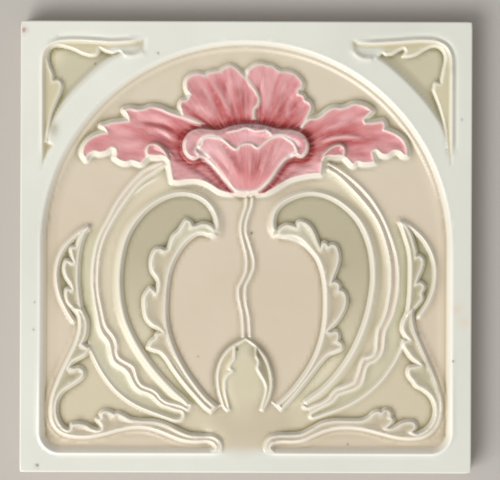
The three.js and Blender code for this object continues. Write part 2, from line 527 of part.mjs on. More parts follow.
// The rolled rim of the cup, a round bar along the rim
function cupRoll() {
  const section = new THREE.Shape();
  section.absarc(0, 0, CUP_ROLL_RADIUS, 0, 2 * Math.PI, false);
  const ring = new THREE.Shape(section.getPoints(4).slice(0, -1));
  return sweep(ring, drawLine(DRAWN.cupRoll, LINE_STEP / 2), floorHeight + CUP_ROLL_RISE - CUP_ROLL_RADIUS);
}

const ground = wasm.Manifold.union([body()])
  .subtract(sunk(panelOutline(), floorHeight, PANEL_COVE, PANEL_DEPTH, 3))
  .subtract(cornerFloor(DRAWN.cornerLipLeft, DRAWN.cornerHeartLeft))
  .subtract(cornerFloor(DRAWN.cornerLipRight, DRAWN.cornerHeartRight));

const foliage = [
  leafBand(DRAWN.leafLipLeft, DRAWN.leafVeinLeft, LEAF_BAND_RISE),
  leafBand(DRAWN.leafLipRight, DRAWN.leafVeinRight, LEAF_BAND_RISE),
  leafBand(DRAWN.sideLeafLipLeft, DRAWN.outerLineTopLeft, CREST_RISE),
  leafBand(DRAWN.sideLeafLipRight, DRAWN.outerLineTopRight, CREST_RISE),
  leafBand(DRAWN.scrollLipLeft, DRAWN.scrollCrestLeft, SCROLL_RISE),
  leafBand(DRAWN.scrollLipRight, DRAWN.scrollCrestRight, SCROLL_RISE),
  ...stem(DRAWN.stemLeft),
  ...stem(DRAWN.stemRight),
  ...stem(DRAWN.middleStem),
  crest(DRAWN.leafCrestLeft),
  crest(DRAWN.leafCrestRight),
  crest(DRAWN.sideLeafCrestLeft),
  crest(DRAWN.sideLeafCrestRight),
  crest(DRAWN.outerLineLeft),
  crest(DRAWN.outerLineRight),
  ridge(drawLine(DRAWN.cornerCrestLeft, LINE_STEP), FRAME_HEIGHT, CORNER_CREST_RISE, CREST_FOOT, CREST_TOP),
  ridge(drawLine(DRAWN.cornerCrestRight, LINE_STEP), FRAME_HEIGHT, CORNER_CREST_RISE, CREST_FOOT, CREST_TOP),
  budSolid(),
  sepal(DRAWN.sepalOuterLeft, DRAWN.sepalEdgeLeft),
  sepal(DRAWN.sepalOuterRight, DRAWN.sepalEdgeRight),
];

const petals = wasm.Manifold.union([
  petal(DRAWN.backPetalRight, BACK_PETAL_RISE),
  petal(DRAWN.backPetalLeft, BACK_PETAL_RISE),
  petal(DRAWN.sidePetalLeft, SIDE_PETAL_RISE),
  petal(DRAWN.sidePetalRight, SIDE_PETAL_RISE),
]).subtract(cupGroove());

const flower = [
  petals,
  petal(DRAWN.foldLeft, FOLD_RISE),
  petal(DRAWN.foldRight, FOLD_RISE),
  petal(DRAWN.cup, CUP_RISE),
  petal(DRAWN.frontPetal, FRONT_PETAL_RISE),
  cupRoll(),
];

const tile = wasm.Manifold.union([ground, ...foliage, ...flower]).subtract(wasm.Manifold.union(mortarGrooves()));

// The finished solid as a mesh with its glaze colour
function meshOf(manifold, name, material) {
  const { vertProperties, triVerts } = manifold.getMesh();
  const geometry = new THREE.BufferGeometry();
  geometry.setAttribute('position', new THREE.BufferAttribute(new Float32Array(vertProperties), 3));
  geometry.setIndex(new THREE.BufferAttribute(new Uint32Array(triVerts), 1));
  geometry.computeVertexNormals();
  const mesh = new THREE.Mesh(geometry, material);
  mesh.name = name;
  return mesh;
}

const glaze = new THREE.MeshStandardMaterial({ color: 0xdfe0d5, roughness: 0.18, metalness: 0 });
const group = new THREE.Group();
group.add(meshOf(tile, 'relief_tile', glaze));

export default group;
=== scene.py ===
# %% [markdown]
# # An art nouveau relief tile
# The real object is one piece of earthenware. A sheet of clay was pressed in a metal die,
# which gave it a raised frame, an arched panel, and a flower with stems and leaves in low
# relief. It was fired, flooded with coloured glazes, and fired again. The glazes ran off
# the crests and pooled in the hollows, and that is what draws the ornament.
# So the plan is: draw the lines of the ornament, turn them into a height map, build one
# closed mesh from it, and let the same height map say where the glaze is thin or deep.

import math

import bmesh
import bpy
import numpy as np
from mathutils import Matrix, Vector


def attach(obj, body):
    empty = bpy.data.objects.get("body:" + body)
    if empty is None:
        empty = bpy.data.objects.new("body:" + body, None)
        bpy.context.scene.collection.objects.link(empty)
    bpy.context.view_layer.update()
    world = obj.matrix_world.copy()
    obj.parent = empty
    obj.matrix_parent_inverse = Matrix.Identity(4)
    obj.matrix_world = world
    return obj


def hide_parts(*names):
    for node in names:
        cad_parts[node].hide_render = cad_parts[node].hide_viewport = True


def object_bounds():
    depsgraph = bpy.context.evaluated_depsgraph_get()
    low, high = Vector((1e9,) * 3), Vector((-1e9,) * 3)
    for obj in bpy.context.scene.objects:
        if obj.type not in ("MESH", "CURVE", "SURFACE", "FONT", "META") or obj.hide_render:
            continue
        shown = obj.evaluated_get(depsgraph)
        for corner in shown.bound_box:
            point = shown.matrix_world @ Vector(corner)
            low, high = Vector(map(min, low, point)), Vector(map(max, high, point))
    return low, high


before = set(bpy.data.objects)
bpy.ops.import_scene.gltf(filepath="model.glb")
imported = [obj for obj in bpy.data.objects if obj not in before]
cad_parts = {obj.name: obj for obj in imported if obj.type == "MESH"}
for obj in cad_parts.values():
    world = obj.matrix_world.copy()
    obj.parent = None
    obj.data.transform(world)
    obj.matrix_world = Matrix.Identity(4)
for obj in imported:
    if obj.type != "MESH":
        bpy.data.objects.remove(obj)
cad_low, cad_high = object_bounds()
MM = 0.001
half_side = (cad_high.x - cad_low.x) / 2 / MM
print("tile side, mm:", round(2 * half_side, 2), "overall height, mm:", round(cad_high.z / MM, 2))

# %% [markdown]
# ## Sizes
# All drawing is done in millimetres, from the middle of the tile, with Y to the top of the
# pattern, because a tile maker's drawing is made so. The side comes from the frame, and the
# rest are the sizes that the solid was built with.

# %% Sizes of the body
FRAME_TOP = 9.0
PANEL_DEPTH = 2.0
FIELD = FRAME_TOP - PANEL_DEPTH
FRAME_WIDTH = 7.2
PANEL_HALF = half_side - FRAME_WIDTH
PANEL_CORNER = 6.5
ARRIS = 0.7
CORNER_DEPTH = 1.5
print("the field lies", FIELD, "mm above the back, the panel is", round(2 * PANEL_HALF, 1), "mm wide")

# %% [markdown]
# ## The drawing
# Each moulded line is a short list of points that a hand would mark on paper, with a smooth
# curve through them. K marks a sharp corner, such as the tip of a leaf's tooth. The other
# choice is a Bezier curve object for each line, but numbers are quicker to turn into heights.
# The left and right halves are close to mirrored, with the small differences of hand work,
# so each half has its own lines.

# %% The big leaves: the crest round the outside, the toothed lip, and the vein
K = True
LEAF_CREST_LEFT = [
    (-19, -53.8), (-20.5, -52), (-24, -48.8), (-28, -44.7), (-32, -40), (-35.5, -35), (-38.3, -30),
    (-40.5, -25), (-42, -19), (-42.6, -13), (-42.5, -8), (-41.8, -2.5), (-40.3, 3), (-38, 7.5),
    (-34.7, 11.7), (-31, 14.8), (-27, 17), (-23, 18.1), (-19, 18), (-15, 16.6), (-12, 14),
    (-10.2, 10.5), (-9.8, 7), (-10.4, 4.6),
]
LEAF_LIP_LEFT = [
    (-10.6, 4.9), (-11.2, 6.3), (-12.8, 7.4), (-14.8, 7.6), (-16.6, 6.9), (-18.2, 6.8, K), (-18.8, 8.3),
    (-20, 8.9), (-21, 7.7), (-22.4, 5.5), (-24.4, 3.6), (-25.3, 1.3), (-25.9, -0.8, K), (-27.2, -1.4),
    (-28.8, -0.8), (-30.3, -1), (-31.4, -2.8), (-31.9, -5.5), (-31.5, -8), (-30.2, -10), (-29.4, -11.5),
    (-29.4, -13.5), (-30, -15.7, K), (-32.2, -13.9, K), (-33.6, -15.8), (-34.2, -17.2), (-34.2, -20.5),
    (-33.4, -24), (-31.5, -26.2), (-29.2, -27.4), (-27.6, -28.9, K), (-29.7, -29.5), (-30.2, -30.7),
    (-31.8, -32), (-32.7, -33.9, K), (-31, -34.7), (-28.8, -35.4), (-26.8, -37.4), (-24.4, -41),
    (-21, -45.6), (-17.2, -50), (-13.6, -53.8), (-11.6, -55.3, K),
]
LEAF_VEIN_LEFT = [
    (-10.6, 4.3), (-12.5, 4.3), (-14.5, 4.8), (-16.5, 4.6), (-19, 3), (-21.5, 0.4), (-24, -3.6),
    (-25.7, -8), (-26.6, -13), (-27, -18), (-27, -23), (-26.4, -27.5), (-25.3, -31.5), (-23.5, -36),
    (-20.5, -41.5), (-17, -46.5), (-13.5, -50.8), (-10.2, -53.8),
]
LEAF_CREST_RIGHT = [
    (19.6, -53), (22, -51), (26, -48), (30, -44), (33.5, -39.5), (36.5, -34.5), (39, -29), (41, -23),
    (42.3, -17), (43, -11), (42.8, -5), (42, 0), (40.3, 5), (37.8, 9.5), (34, 13.5), (30, 16.3),
    (25.5, 18), (21, 18.4), (16.5, 17.3), (12.5, 15.2), (10.3, 12.9), (9.2, 10), (9.2, 7), (10.2, 4.8),
]
LEAF_LIP_RIGHT = [
    (10.8, 4.6), (11.6, 6.1), (13.6, 7.4), (15.5, 7.1), (17.2, 6.5, K), (17.9, 8.5), (19.5, 8.4),
    (21.5, 7), (23, 4.5), (24, 1.8), (25.2, -0.8, K), (25.7, 0.8), (26.6, 1.4), (27.8, 0.2),
    (28.8, 0.7), (30, 0.6), (31, -1.5), (31.2, -3.8), (30.6, -6.5), (29.5, -9.3), (28.6, -12.2, K),
    (30.2, -11.8), (31.3, -12.6), (31.2, -14.7, K), (32.7, -14.9), (33.6, -16.5), (33.6, -19),
    (32.5, -22), (30.5, -25), (28.5, -27), (27.2, -28.5, K), (29, -28.8), (30.8, -28.5), (31.2, -30),
    (30.8, -31.5, K), (32.3, -32.6), (32.2, -34), (30.2, -35), (27.8, -36), (25.2, -38.7),
    (22.5, -42.2), (19, -46.7), (15.5, -51), (12.2, -54.6, K),
]
LEAF_VEIN_RIGHT = [
    (10.6, 4.2), (13, 3.8), (16, 3.8), (18.5, 2.8), (20.5, 1), (22.5, -1.3), (24.3, -3.8), (25.6, -7),
    (26.5, -11), (26.9, -15), (27, -20), (26.7, -25), (26, -29.5), (24.7, -34), (22.7, -38.7),
    (19.5, -43.8), (15.5, -48.8), (10.8, -53.2),
]
print("points in the big leaves:", len(LEAF_CREST_LEFT + LEAF_LIP_LEFT + LEAF_VEIN_LEFT))

# %% The whiplash stems: two lines side by side, and the line outside them
STEM_OUTER_LEFT = [
    (-27, 28.6), (-30.4, 27.4), (-33.5, 26.1), (-36.4, 23.6), (-39, 20.8), (-41.5, 17.6), (-43.1, 15.2),
    (-44.6, 12.5), (-46.2, 9.3), (-47.9, 6.3), (-49.2, 3.4), (-50.2, 0.4), (-50.8, -2.5), (-51.3, -5.9),
    (-51.5, -9.3), (-51.5, -12.7), (-51.1, -16.1), (-50.6, -19.5), (-50, -22.4), (-49.4, -25.5),
    (-48.9, -27.5), (-47.9, -29.6), (-46.6, -31.1), (-45.8, -32.6), (-45.3, -34.7), (-44.9, -36.8),
    (-44.1, -38.7), (-42.4, -40), (-40.7, -41), (-39.2, -42.7), (-38.2, -44.8), (-36.9, -47),
    (-35.2, -48.4), (-33.1, -49.1), (-31.2, -50.1), (-29.7, -51.6), (-28, -53.1), (-25.9, -53.9),
    (-23.3, -54.8), (-21.2, -55.4), (-20.7, -56.7), (-21.4, -58), (-23.3, -58.4), (-26.3, -57.5),
    (-29.7, -56.3), (-33.1, -55), (-36.5, -53.5), (-39.4, -51.8), (-42.4, -49.5), (-44.9, -47),
    (-47.5, -43.6), (-49.6, -40.2), (-51.3, -36.8), (-53, -33.4),
]
STEM_INNER_LEFT = [
    (-26.4, 27.8), (-28.5, 26.9), (-30.8, 25.3), (-33.5, 23.6), (-36.2, 21.2), (-38.4, 18.4), (-40.7, 15.3),
    (-43.2, 11.6), (-45.3, 8), (-47, 4.7), (-48.3, 1.3), (-49.2, -2.1), (-49.7, -5.5), (-49.9, -9.3),
    (-49.9, -12.7), (-49.6, -16.1), (-48.9, -19.5), (-48.2, -22.8), (-47.6, -25.4), (-46.6, -27.5),
    (-44.9, -29.6), (-43.9, -31.3), (-43.4, -33.4), (-43.4, -35.5), (-42.8, -37.2), (-41.1, -38.5),
    (-39, -39.6), (-37.7, -40.6), (-37.1, -42.3), (-36.5, -44.4), (-35.2, -46.5), (-33.5, -47.4),
    (-31.4, -48.2), (-29.7, -49.5), (-28.4, -51.2), (-26.3, -52.5), (-23.8, -53.1), (-21.2, -53.9),
    (-19.5, -54.8), (-18.5, -53.6), (-19.1, -52.5),
]
STEM_OUTER_RIGHT = [
    (26.4, 29), (28.8, 27.7), (31.6, 25.9), (34.3, 24), (36.9, 21.9), (39.3, 19.6), (41.8, 16.8),
    (43.9, 13.8), (45.8, 10.6), (47.3, 7.4), (48.6, 4.2), (49.8, 0.8), (50.7, -2.5), (51.2, -5.9),
    (51.5, -9.3),
    (51.4, -12.7), (51.1, -16.1), (50.4, -19.5), (49.6, -22.6), (48.3, -25.4), (47.3, -27.5),
    (46.8, -29.6), (46.6, -32.2), (46.2, -34.7), (45.3, -36.6), (43.7, -38.1), (42, -38.9),
    (40.9, -40.2), (40.3, -42.3), (39.8, -44.4), (39, -46.1), (37.3, -47.4), (35.2, -48.2),
    (33.1, -48.9), (31.4, -49.7), (30.1, -51.2), (28.4, -52.5), (26.3, -53.5), (23.8, -54.8),
    (22.3, -55.8), (22, -57), (22.7, -57.5), (23.8, -57.3), (27.2, -56.1), (31.4, -54.6), (35.6, -52.7),
    (39.8, -50.1), (43.2, -47.4), (46.2, -44.4), (48.7, -41), (50.8, -37.7), (52.5, -33.8),
    (53.4, -30.5),
]
STEM_INNER_RIGHT = [
    (26.6, 27), (28.6, 26), (31, 24.5), (33.4, 22.4), (35.8, 20), (38.1, 17.5), (40.3, 15), (42.1, 12.7),
    (43.7, 10.4), (45, 8), (46.2, 5.3), (47.1, 2.5), (47.9, -0.4), (48.5, -3.4), (48.9, -6.8),
    (48.9, -10.2), (48.8, -13.5),
    (48.3, -16.9), (47.7, -20.3), (46.8, -23.3), (45.8, -25.6), (44.9, -27.3), (44.5, -29.4),
    (44.3, -31.7), (44.1, -34.3), (43.2, -36), (41.8, -36.8), (40.1, -37.4), (39.2, -38.9), (38.6, -41),
    (37.9, -43.2), (36.9, -45.1), (35.2, -46.1), (33.1, -47), (31, -47.8), (29.7, -49.1), (28.4, -50.8),
    (26.3, -52.3), (23.8, -53.3), (21.2, -54.2), (20, -53.9), (19.6, -52.8),
]
print("the stems start under the flower at", STEM_OUTER_LEFT[0], "and", STEM_OUTER_RIGHT[0])

# %% The side leaves and the scrolls below them
SIDE_LEAF_CREST_LEFT = [
    (-52.4, 6.7), (-55, 5.5), (-58, 3.2), (-61, 0), (-63, -4), (-63.8, -8), (-63.7, -12),
    (-62.7, -16.5), (-61, -20.3), (-59, -23.8), (-57.2, -26.3),
]
SIDE_LEAF_LIP_LEFT = [
    (-53, 6.5), (-54.6, 5.1), (-56, 2.9), (-57, -0.1, K), (-58.9, -0.6), (-58.7, -2.6),
    (-57.8, -5.5, K), (-59, -5.2), (-60.4, -4.7), (-61.3, -7), (-60.6, -10), (-59, -12.6),
    (-58.3, -14.6, K), (-60.3, -14.4), (-60.6, -16.8), (-59.7, -19.2), (-57.8, -21),
]
OUTER_LINE_TOP_LEFT = [
    (-54.2, 4.8), (-55.4, 1.5), (-56.3, -3.5), (-56.6, -8.5), (-56.5, -13), (-55.9, -18),
    (-55.3, -21.5),
]
SCROLL_CREST_LEFT = [
    (-57.8, -21), (-56.4, -22.8), (-55.8, -25.5), (-56, -28.5), (-57, -32), (-58.8, -36), (-61, -40.5),
    (-63.2, -45.5), (-64.9, -50.3), (-65.5, -55), (-65, -58.8), (-63.3, -61.6), (-60.5, -63.3),
    (-56.5, -64), (-52, -63.9), (-47, -62.9), (-42, -61.5), (-37, -60.7), (-33, -60.9), (-29, -62),
    (-25, -63.6), (-21, -65), (-17, -65.5), (-12.5, -65.4), (-10.6, -66.2), (-10, -67.5),
    (-10.8, -68.7),
]
SCROLL_LIP_LEFT = [
    (-55.3, -21.5), (-53.9, -24.3), (-53.6, -27.3), (-54.1, -30.2), (-55.4, -32.8, K), (-54.1, -33.6),
    (-53.2, -34.6), (-53.8, -36), (-56, -37.4), (-58.4, -38.7), (-59.8, -40.8, K), (-57.8, -41.2),
    (-55.8, -41), (-54.6, -42.1), (-54.9, -43.7), (-56.7, -45.3, K), (-59, -46.8), (-61.6, -48.6),
    (-63.5, -51.6), (-64, -55), (-63.2, -58.5), (-61.4, -61.2), (-59.6, -62), (-58.7, -61.4),
    (-58.3, -60, K), (-56, -59.8), (-53.6, -60.2), (-51.5, -61.4), (-49.6, -62), (-48.2, -61.3),
    (-48.5, -60), (-49.9, -58.2, K), (-48.6, -57.8), (-48.6, -56.3), (-47.5, -55.5), (-46, -55.6),
    (-44.2, -56.5, K), (-42.8, -56.2), (-41, -57), (-38.5, -58.3), (-35, -58.8), (-30, -59),
    (-26, -60.2), (-22, -62.2), (-18.5, -63.5), (-14.5, -63.8), (-11, -63.8), (-8.9, -65), (-8.2, -67),
    (-8.9, -68.8), (-10.5, -69.5),
]
SIDE_LEAF_CREST_RIGHT = [
    (51, 9), (54, 7.9), (57, 5.8), (60, 2.7), (62.3, -1.2), (63.5, -5), (63.8, -9), (63.3, -13.5),
    (61.8, -17.8), (59.8, -21.2), (57.5, -24.5),
]
SIDE_LEAF_LIP_RIGHT = [
    (52, 8.3), (53.6, 7.2), (55.3, 4.8), (56.4, 1.6), (57.1, -1), (57.2, -3.3, K), (58.6, -2.9),
    (59.6, -4), (59.4, -6.6), (58.2, -9.5), (57.1, -12.4, K), (58.8, -11.9), (60, -12.8),
    (59.2, -15.2, K), (59.4, -17), (57.8, -19.3), (55.9, -21.2),
]
OUTER_LINE_TOP_RIGHT = [
    (52.5, 6.8), (53.6, 3.5), (54.7, 0), (55.3, -4), (55.4, -9), (55.3, -14), (54.9, -19),
    (54.4, -22.5),
]
SCROLL_CREST_RIGHT = [
    (55.9, -21.2), (55.9, -23), (56.2, -25.5), (57, -28.5), (58.5, -32), (60.5, -36.5), (62.7, -41.5),
    (64.6, -46.5), (65.7, -51), (65.8, -55), (64.9, -59), (62.8, -62), (60, -63.7), (56, -64.3),
    (51, -63.9), (46, -62.7), (41, -61.4), (36, -60.7), (31, -60.8), (27, -61.7), (23, -63.4),
    (19.5, -64.9), (16, -65.4), (12, -65.4), (9.3, -66), (8.2, -67.5), (8.9, -68.8),
]
SCROLL_LIP_RIGHT = [
    (54.4, -22.5), (53.2, -24.8), (52.8, -27.2), (53.6, -29.2), (55.3, -31.1, K), (53.5, -32),
    (53.5, -33.4), (54.5, -35), (56, -37), (58, -38.6), (59.3, -39.8, K), (57, -40.2), (55.2, -40.6),
    (54.8, -42.2), (55.5, -43.8), (56.5, -44.9, K), (57.5, -46.4), (60, -47.8), (62.5, -50),
    (63.9, -53), (64, -56.5), (62.7, -59.7), (60.2, -62), (57.6, -62.9), (55.9, -62, K), (57.2, -60.4),
    (56.9, -59.1), (55.3, -58.7), (53, -59.2), (50.8, -60.4), (48.5, -61), (47.3, -60.7, K),
    (48.8, -59.3), (49.6, -58), (49, -57.2), (48.9, -55.6), (48, -54.8), (47, -54.8), (46, -55.6),
    (44.6, -55.3), (43.2, -55.8), (41.8, -57.2), (39.5, -58.3), (35, -58.5), (30, -58.5), (26, -59.3),
    (22.5, -61.2), (19, -62.9), (15, -63.3), (11, -63.3), (8.5, -64), (7, -66), (7.2, -68.3),
    (9, -69.6),
]
print("points in the scrolls' lips:", len(SCROLL_LIP_LEFT + SCROLL_LIP_RIGHT))

# %% The middle stem and the bud
MIDDLE_STEM_LEFT = [
    (0, 18), (0, 14.2), (-0.9, 11.2), (-1.7, 8.1), (-1.7, 5.1), (-0.9, 1.5), (0, -2.1), (0.3, -5.1),
    (0, -8.1), (-1.2, -11.1), (-2.4, -13.5), (-2.4, -16.6), (-1.8, -19.6), (-1.2, -22.6), (-0.9, -26.2),
    (-0.8, -30.6),
]
MIDDLE_STEM_RIGHT = [
    (2.1, 18), (1.9, 14.2), (0.9, 11.2), (0.1, 8.1), (0, 5.1), (0.9, 2.1), (2, -1.5), (2.7, -4.5),
    (2.6, -6.9), (1.5, -9.9), (0.1, -12.9), (-0.2, -15.4), (0.1, -19), (0.9, -22.6), (1.3, -26.2),
    (1.5, -30.6),
]
BUD_LEFT = [
    (0.3, -31), (-2.4, -32.2), (-5.2, -34), (-7.3, -36.4), (-8.8, -39.4), (-9.5, -42.5), (-9.5, -45.5),
    (-9.1, -48.5), (-8.2, -51.5), (-7.3, -53.9), (-6.1, -55.2),
]
BUD_RIGHT = [
    (0.3, -31), (2.7, -32.5), (4.8, -34.3), (6.6, -36.7), (8, -39.7), (8.8, -43.1), (9, -46.1),
    (8.7, -48.5), (8, -50.9), (6.9, -53.3), (6, -55.1),
]
SEPAL_LEFT = [
    (-3.4, -33.2), (-3.5, -35.8), (-3.7, -37.6), (-4.9, -39.4), (-5.2, -40.7), (-4.3, -41.6),
    (-5.8, -43.1), (-6.7, -44.9), (-6.8, -47.3), (-6.5, -49.7), (-5.9, -52.1), (-5.3, -54.8),
]
SEPAL_RIGHT = [
    (3.4, -33.4), (3.4, -36.4), (4.2, -38.5), (3.9, -40.7), (5.1, -43.1), (6.3, -45.2), (6.9, -47.3),
    (6.6, -49.7), (5.8, -52.4), (5.1, -54.8),
]
print("the bud is", round(BUD_LEFT[0][1] - BUD_LEFT[-1][1], 1), "mm tall")

# %% The flower: four petals, the folded corners of the side petals, and the cup in front
BACK_PETAL_LEFT = [
    (2.9, 41), (2.5, 44.5), (2.7, 46.5), (3.9, 48), (4.2, 50), (3.2, 52.5), (1.5, 54.7), (0, 56.6),
    (-1.5, 58), (-3.5, 60), (-5.5, 61), (-7.5, 60.2), (-9, 59.3), (-12.5, 58.6), (-14, 57.9),
    (-16.5, 58.3), (-18.5, 57.8), (-20, 56.5), (-20.5, 54.5), (-20, 52.5), (-19, 51.4, K),
    (-19.9, 49.6), (-21.7, 49.1), (-22.4, 47.6), (-21.9, 45.8), (-21.4, 43.6, K), (-17, 40),
    (-12, 38, K), (-6, 36), (0, 36, K),
]
BACK_PETAL_RIGHT = [
    (0, 57, K), (0.4, 59.2), (1.6, 60.3), (3, 61.3), (5, 61.6), (7, 61.1), (8.8, 60.8), (10, 59.8),
    (11.5, 59.1), (14, 59), (16, 58.4), (17.5, 57.1), (18.8, 55.3), (18.5, 53.9), (17.5, 52.9),
    (17.5, 51.7, K), (19.1, 51), (19.7, 49.4, K), (21.1, 48.8), (21.8, 47.5), (21.3, 45.5),
    (20.2, 43.5), (19.6, 41.5), (18.4, 37.6, K), (9, 36), (0, 36, K),
]
SIDE_PETAL_LEFT = [
    (-11, 38.6, K), (-16, 41.8), (-19, 43), (-22.5, 44.1), (-26, 45.3), (-29, 46.6), (-32, 47),
    (-34.2, 46.3), (-36.5, 46.1), (-39, 46.5), (-41.2, 45.9, K), (-40, 44.2), (-39.5, 42.4, K),
    (-42, 42), (-45, 41.7), (-47.2, 41), (-48.8, 40.6, K), (-47.5, 39.4), (-46.9, 38.4, K), (-49, 38),
    (-51.5, 37), (-53.5, 35.5), (-54.8, 33.5), (-55, 31), (-53.9, 29.4, K), (-52.8, 31.1),
    (-51.3, 31.8), (-49, 31.5), (-47, 32), (-45.4, 33.1), (-44, 32.7, K), (-43.8, 31.2), (-44.2, 30, K),
    (-42.4, 28.8), (-40.4, 28.3), (-38.6, 28.8), (-37, 28.4), (-35.4, 28), (-34.3, 29.2),
    (-33, 30.6, K), (-30, 30.3), (-27.8, 30.2), (-26.4, 29.6), (-25.7, 27), (-25.3, 24.4),
    (-24.8, 22.2, K), (-23, 22), (-20, 22.4), (-17, 22.5), (-14, 21.8), (-11.5, 20.5), (-9, 18.9),
    (-6.5, 18.2), (-4, 18, K), (-4, 26), (-8, 34, K),
]
SIDE_PETAL_RIGHT = [
    (17.2, 37.4, K), (18.9, 40.8), (20.4, 42.5), (21.9, 43.2), (23.5, 43.3), (25.5, 44.3), (27.5, 46),
    (29.5, 46.9), (32, 46.8), (34, 47.3), (36, 48.2), (38, 48.1), (40.5, 47.3), (42.3, 46, K), (40.9, 44.5),
    (39.6, 43.1), (40.1, 41.9, K), (43, 42), (46, 42.5, K), (46.5, 41.4), (46.3, 39.8, K), (48.5, 39),
    (51, 37.8), (53, 36), (54, 33.5), (54.1, 31, K), (53, 31), (51.6, 32.2), (49.6, 32.5), (47.5, 31.1),
    (45.5, 31.4), (43.6, 32.8), (42.4, 32.1, K), (42.8, 30.5), (43.1, 28.7, K), (41.3, 28.4),
    (39, 28.4), (37.5, 28.8), (36, 27.7), (34.5, 29), (32.8, 30.8, K), (30, 30.5), (27.3, 30.6),
    (25.9, 29.6), (25.3, 26.5), (25, 24.7, K), (22, 24.5), (18, 23.8), (14.5, 22.7), (11.5, 21),
    (9, 19.4), (6.5, 18.3), (4, 18, K), (4, 26), (9, 34, K),
]
FOLD_LEFT = [
    (-33.3, 30.6, K), (-33.6, 32.6), (-32.8, 34.2), (-31, 34.6), (-29.4, 34), (-27.9, 32.6),
    (-26.7, 31), (-26.2, 29.4, K), (-28, 30.4), (-30.5, 30.4),
]
FOLD_RIGHT = [
    (32.9, 30.6, K), (33, 33.2), (31.7, 34.4), (29.7, 34.1), (27.8, 33), (26.2, 31.4), (25.8, 29.8, K),
    (27.6, 30.7), (30.2, 30.6),
]
CUP = [
    (-3.4, 18.4), (-5, 20.8), (-7, 23.5), (-9.6, 26.8), (-12.2, 29.6), (-15.6, 30.2, K), (-17.6, 29.2),
    (-19.4, 29.9), (-20.9, 31.8), (-21.3, 34.2), (-20.6, 36.8), (-18.8, 38.6), (-16, 39.5),
    (-12.5, 39.3), (-9, 39.2), (-5.5, 40.4), (-2.5, 41), (1, 41.2), (5, 41), (8.5, 40.1), (11.5, 39.4),
    (15, 39.3), (18, 38.4), (20.2, 36.5), (21, 34), (20.4, 31.6), (18.6, 30.1), (16.2, 30.6, K),
    (13.6, 29.6), (11.2, 27.2), (9, 24), (6.8, 21), (4.4, 19), (1, 18.2),
]
CUP_ROLL = [
    (-15.9, 30.9), (-17.8, 30.7), (-19.4, 31.8), (-19.8, 34.2), (-19, 36.4), (-16.8, 37.8), (-13, 38),
    (-9, 37.7), (-5.5, 38.9), (-2, 39.4), (1, 39.8), (4.5, 39.4), (7.6, 38.8), (10.6, 37.9), (14, 37.8),
    (17, 37), (18.9, 35.2), (19.4, 33.4), (18.6, 31.9), (17, 31.5),
]
FRONT_PETAL = [
    (-3.4, 19.4), (-5.2, 21.6), (-7.6, 24.6), (-10.2, 27.8), (-12.8, 30.6), (-15, 32.2, K), (-16.2, 34),
    (-15, 36.2), (-13, 37.2), (-11, 37.1), (-9, 36.6), (-7, 35.4), (-5, 33.8), (-3.4, 33.1, K),
    (-1.5, 34.3), (0, 34.8), (1.6, 34.5), (3.6, 33.4, K), (5, 34.1), (7, 35.8), (9, 37), (11, 37.5),
    (13, 37.2), (15, 36), (16.4, 34), (16.6, 32, K), (14, 30.4), (11.4, 27.8), (9, 24.6), (6.8, 21.8),
    (4.2, 19.8), (1, 19),
]
print("points in the flower's outlines:", len(SIDE_PETAL_LEFT + SIDE_PETAL_RIGHT + CUP + FRONT_PETAL))

# %% The small leaves in the two upper corners
CORNER_LIP_LEFT = [
    (-41.5, 65.1, K), (-42.8, 65.9), (-45, 65.4), (-47, 65.8), (-49.5, 67, K), (-49.8, 65.6),
    (-50.6, 64.6), (-52, 64.3), (-55, 65), (-58, 66.4), (-61, 67.3), (-64, 67.7), (-66.2, 66.6),
    (-67, 64), (-66.5, 61), (-65.3, 58), (-65.2, 55.8, K), (-63, 55.8), (-62.2, 54.4), (-62.6, 52.4),
    (-64, 49), (-65.5, 45), (-66.7, 40), (-67.5, 35.4, K),
]
CORNER_CREST_LEFT = [
    (-33.6, 70.8), (-35.5, 69.9), (-38, 69.2), (-42, 68.8), (-46, 68.7), (-50, 69), (-55, 69.3),
    (-60, 69.3), (-64, 68.8), (-66.8, 67.4), (-68.3, 65), (-68.7, 61), (-68.7, 50), (-68.7, 40),
    (-68.7, 27),
]
CORNER_LIP_RIGHT = [
    (43.6, 63.7, K), (45.6, 65.6), (47, 64.8, K), (49, 65.2), (51.3, 66.6), (53, 67.2), (53.7, 66),
    (52.6, 64.3, K), (54.2, 64.3), (57, 65), (60, 66.8), (62.5, 67.8), (65, 67.4), (66.6, 65.5),
    (66.9, 63), (66.2, 59.4), (65.4, 55, K), (63.6, 55.5), (62.9, 53.2, K), (63.7, 51), (65, 47.5),
    (66.3, 43), (67.2, 38.5), (67.7, 34, K),
]
CORNER_CREST_RIGHT = [
    (36.2, 69.7), (38, 68.9), (41, 68.6), (45, 68.7), (50, 69), (55, 69.4), (60, 69.6), (64, 69.2),
    (67, 67.6), (68.5, 65), (68.9, 61), (68.9, 50), (68.9, 40), (68.9, 28),
]
CORNER_BAND_LEFT = [
    (-34, 70.4), (-33.8, 68), (-34.4, 66), (-35.8, 64.9), (-38.5, 64.2), (-41.4, 64.7, K), (-46, 62),
    (-50, 58.8), (-54, 55.1), (-58, 50.9), (-61, 47.3), (-63.5, 43.8), (-65.2, 40.8), (-66.2, 38),
    (-66.4, 35.6, K), (-65, 33.9), (-66, 32.2), (-67, 30.4), (-68, 28.4), (-68.7, 26),
]
CORNER_BAND_RIGHT = [
    (35.4, 69.6), (35.3, 67.4), (36.6, 65.1), (38.4, 63.8), (40.6, 63.3), (43.1, 63.6, K), (46, 62),
    (50, 58.8), (54, 55.1), (58, 50.9), (61, 47.3), (63.5, 43.8), (65.2, 41), (66.3, 38),
    (67.1, 35), (67.8, 32), (68.3, 29.6), (68.9, 27),
]
print("corner leaf teeth:", sum(len(p) == 3 for p in CORNER_LIP_LEFT + CORNER_LIP_RIGHT))

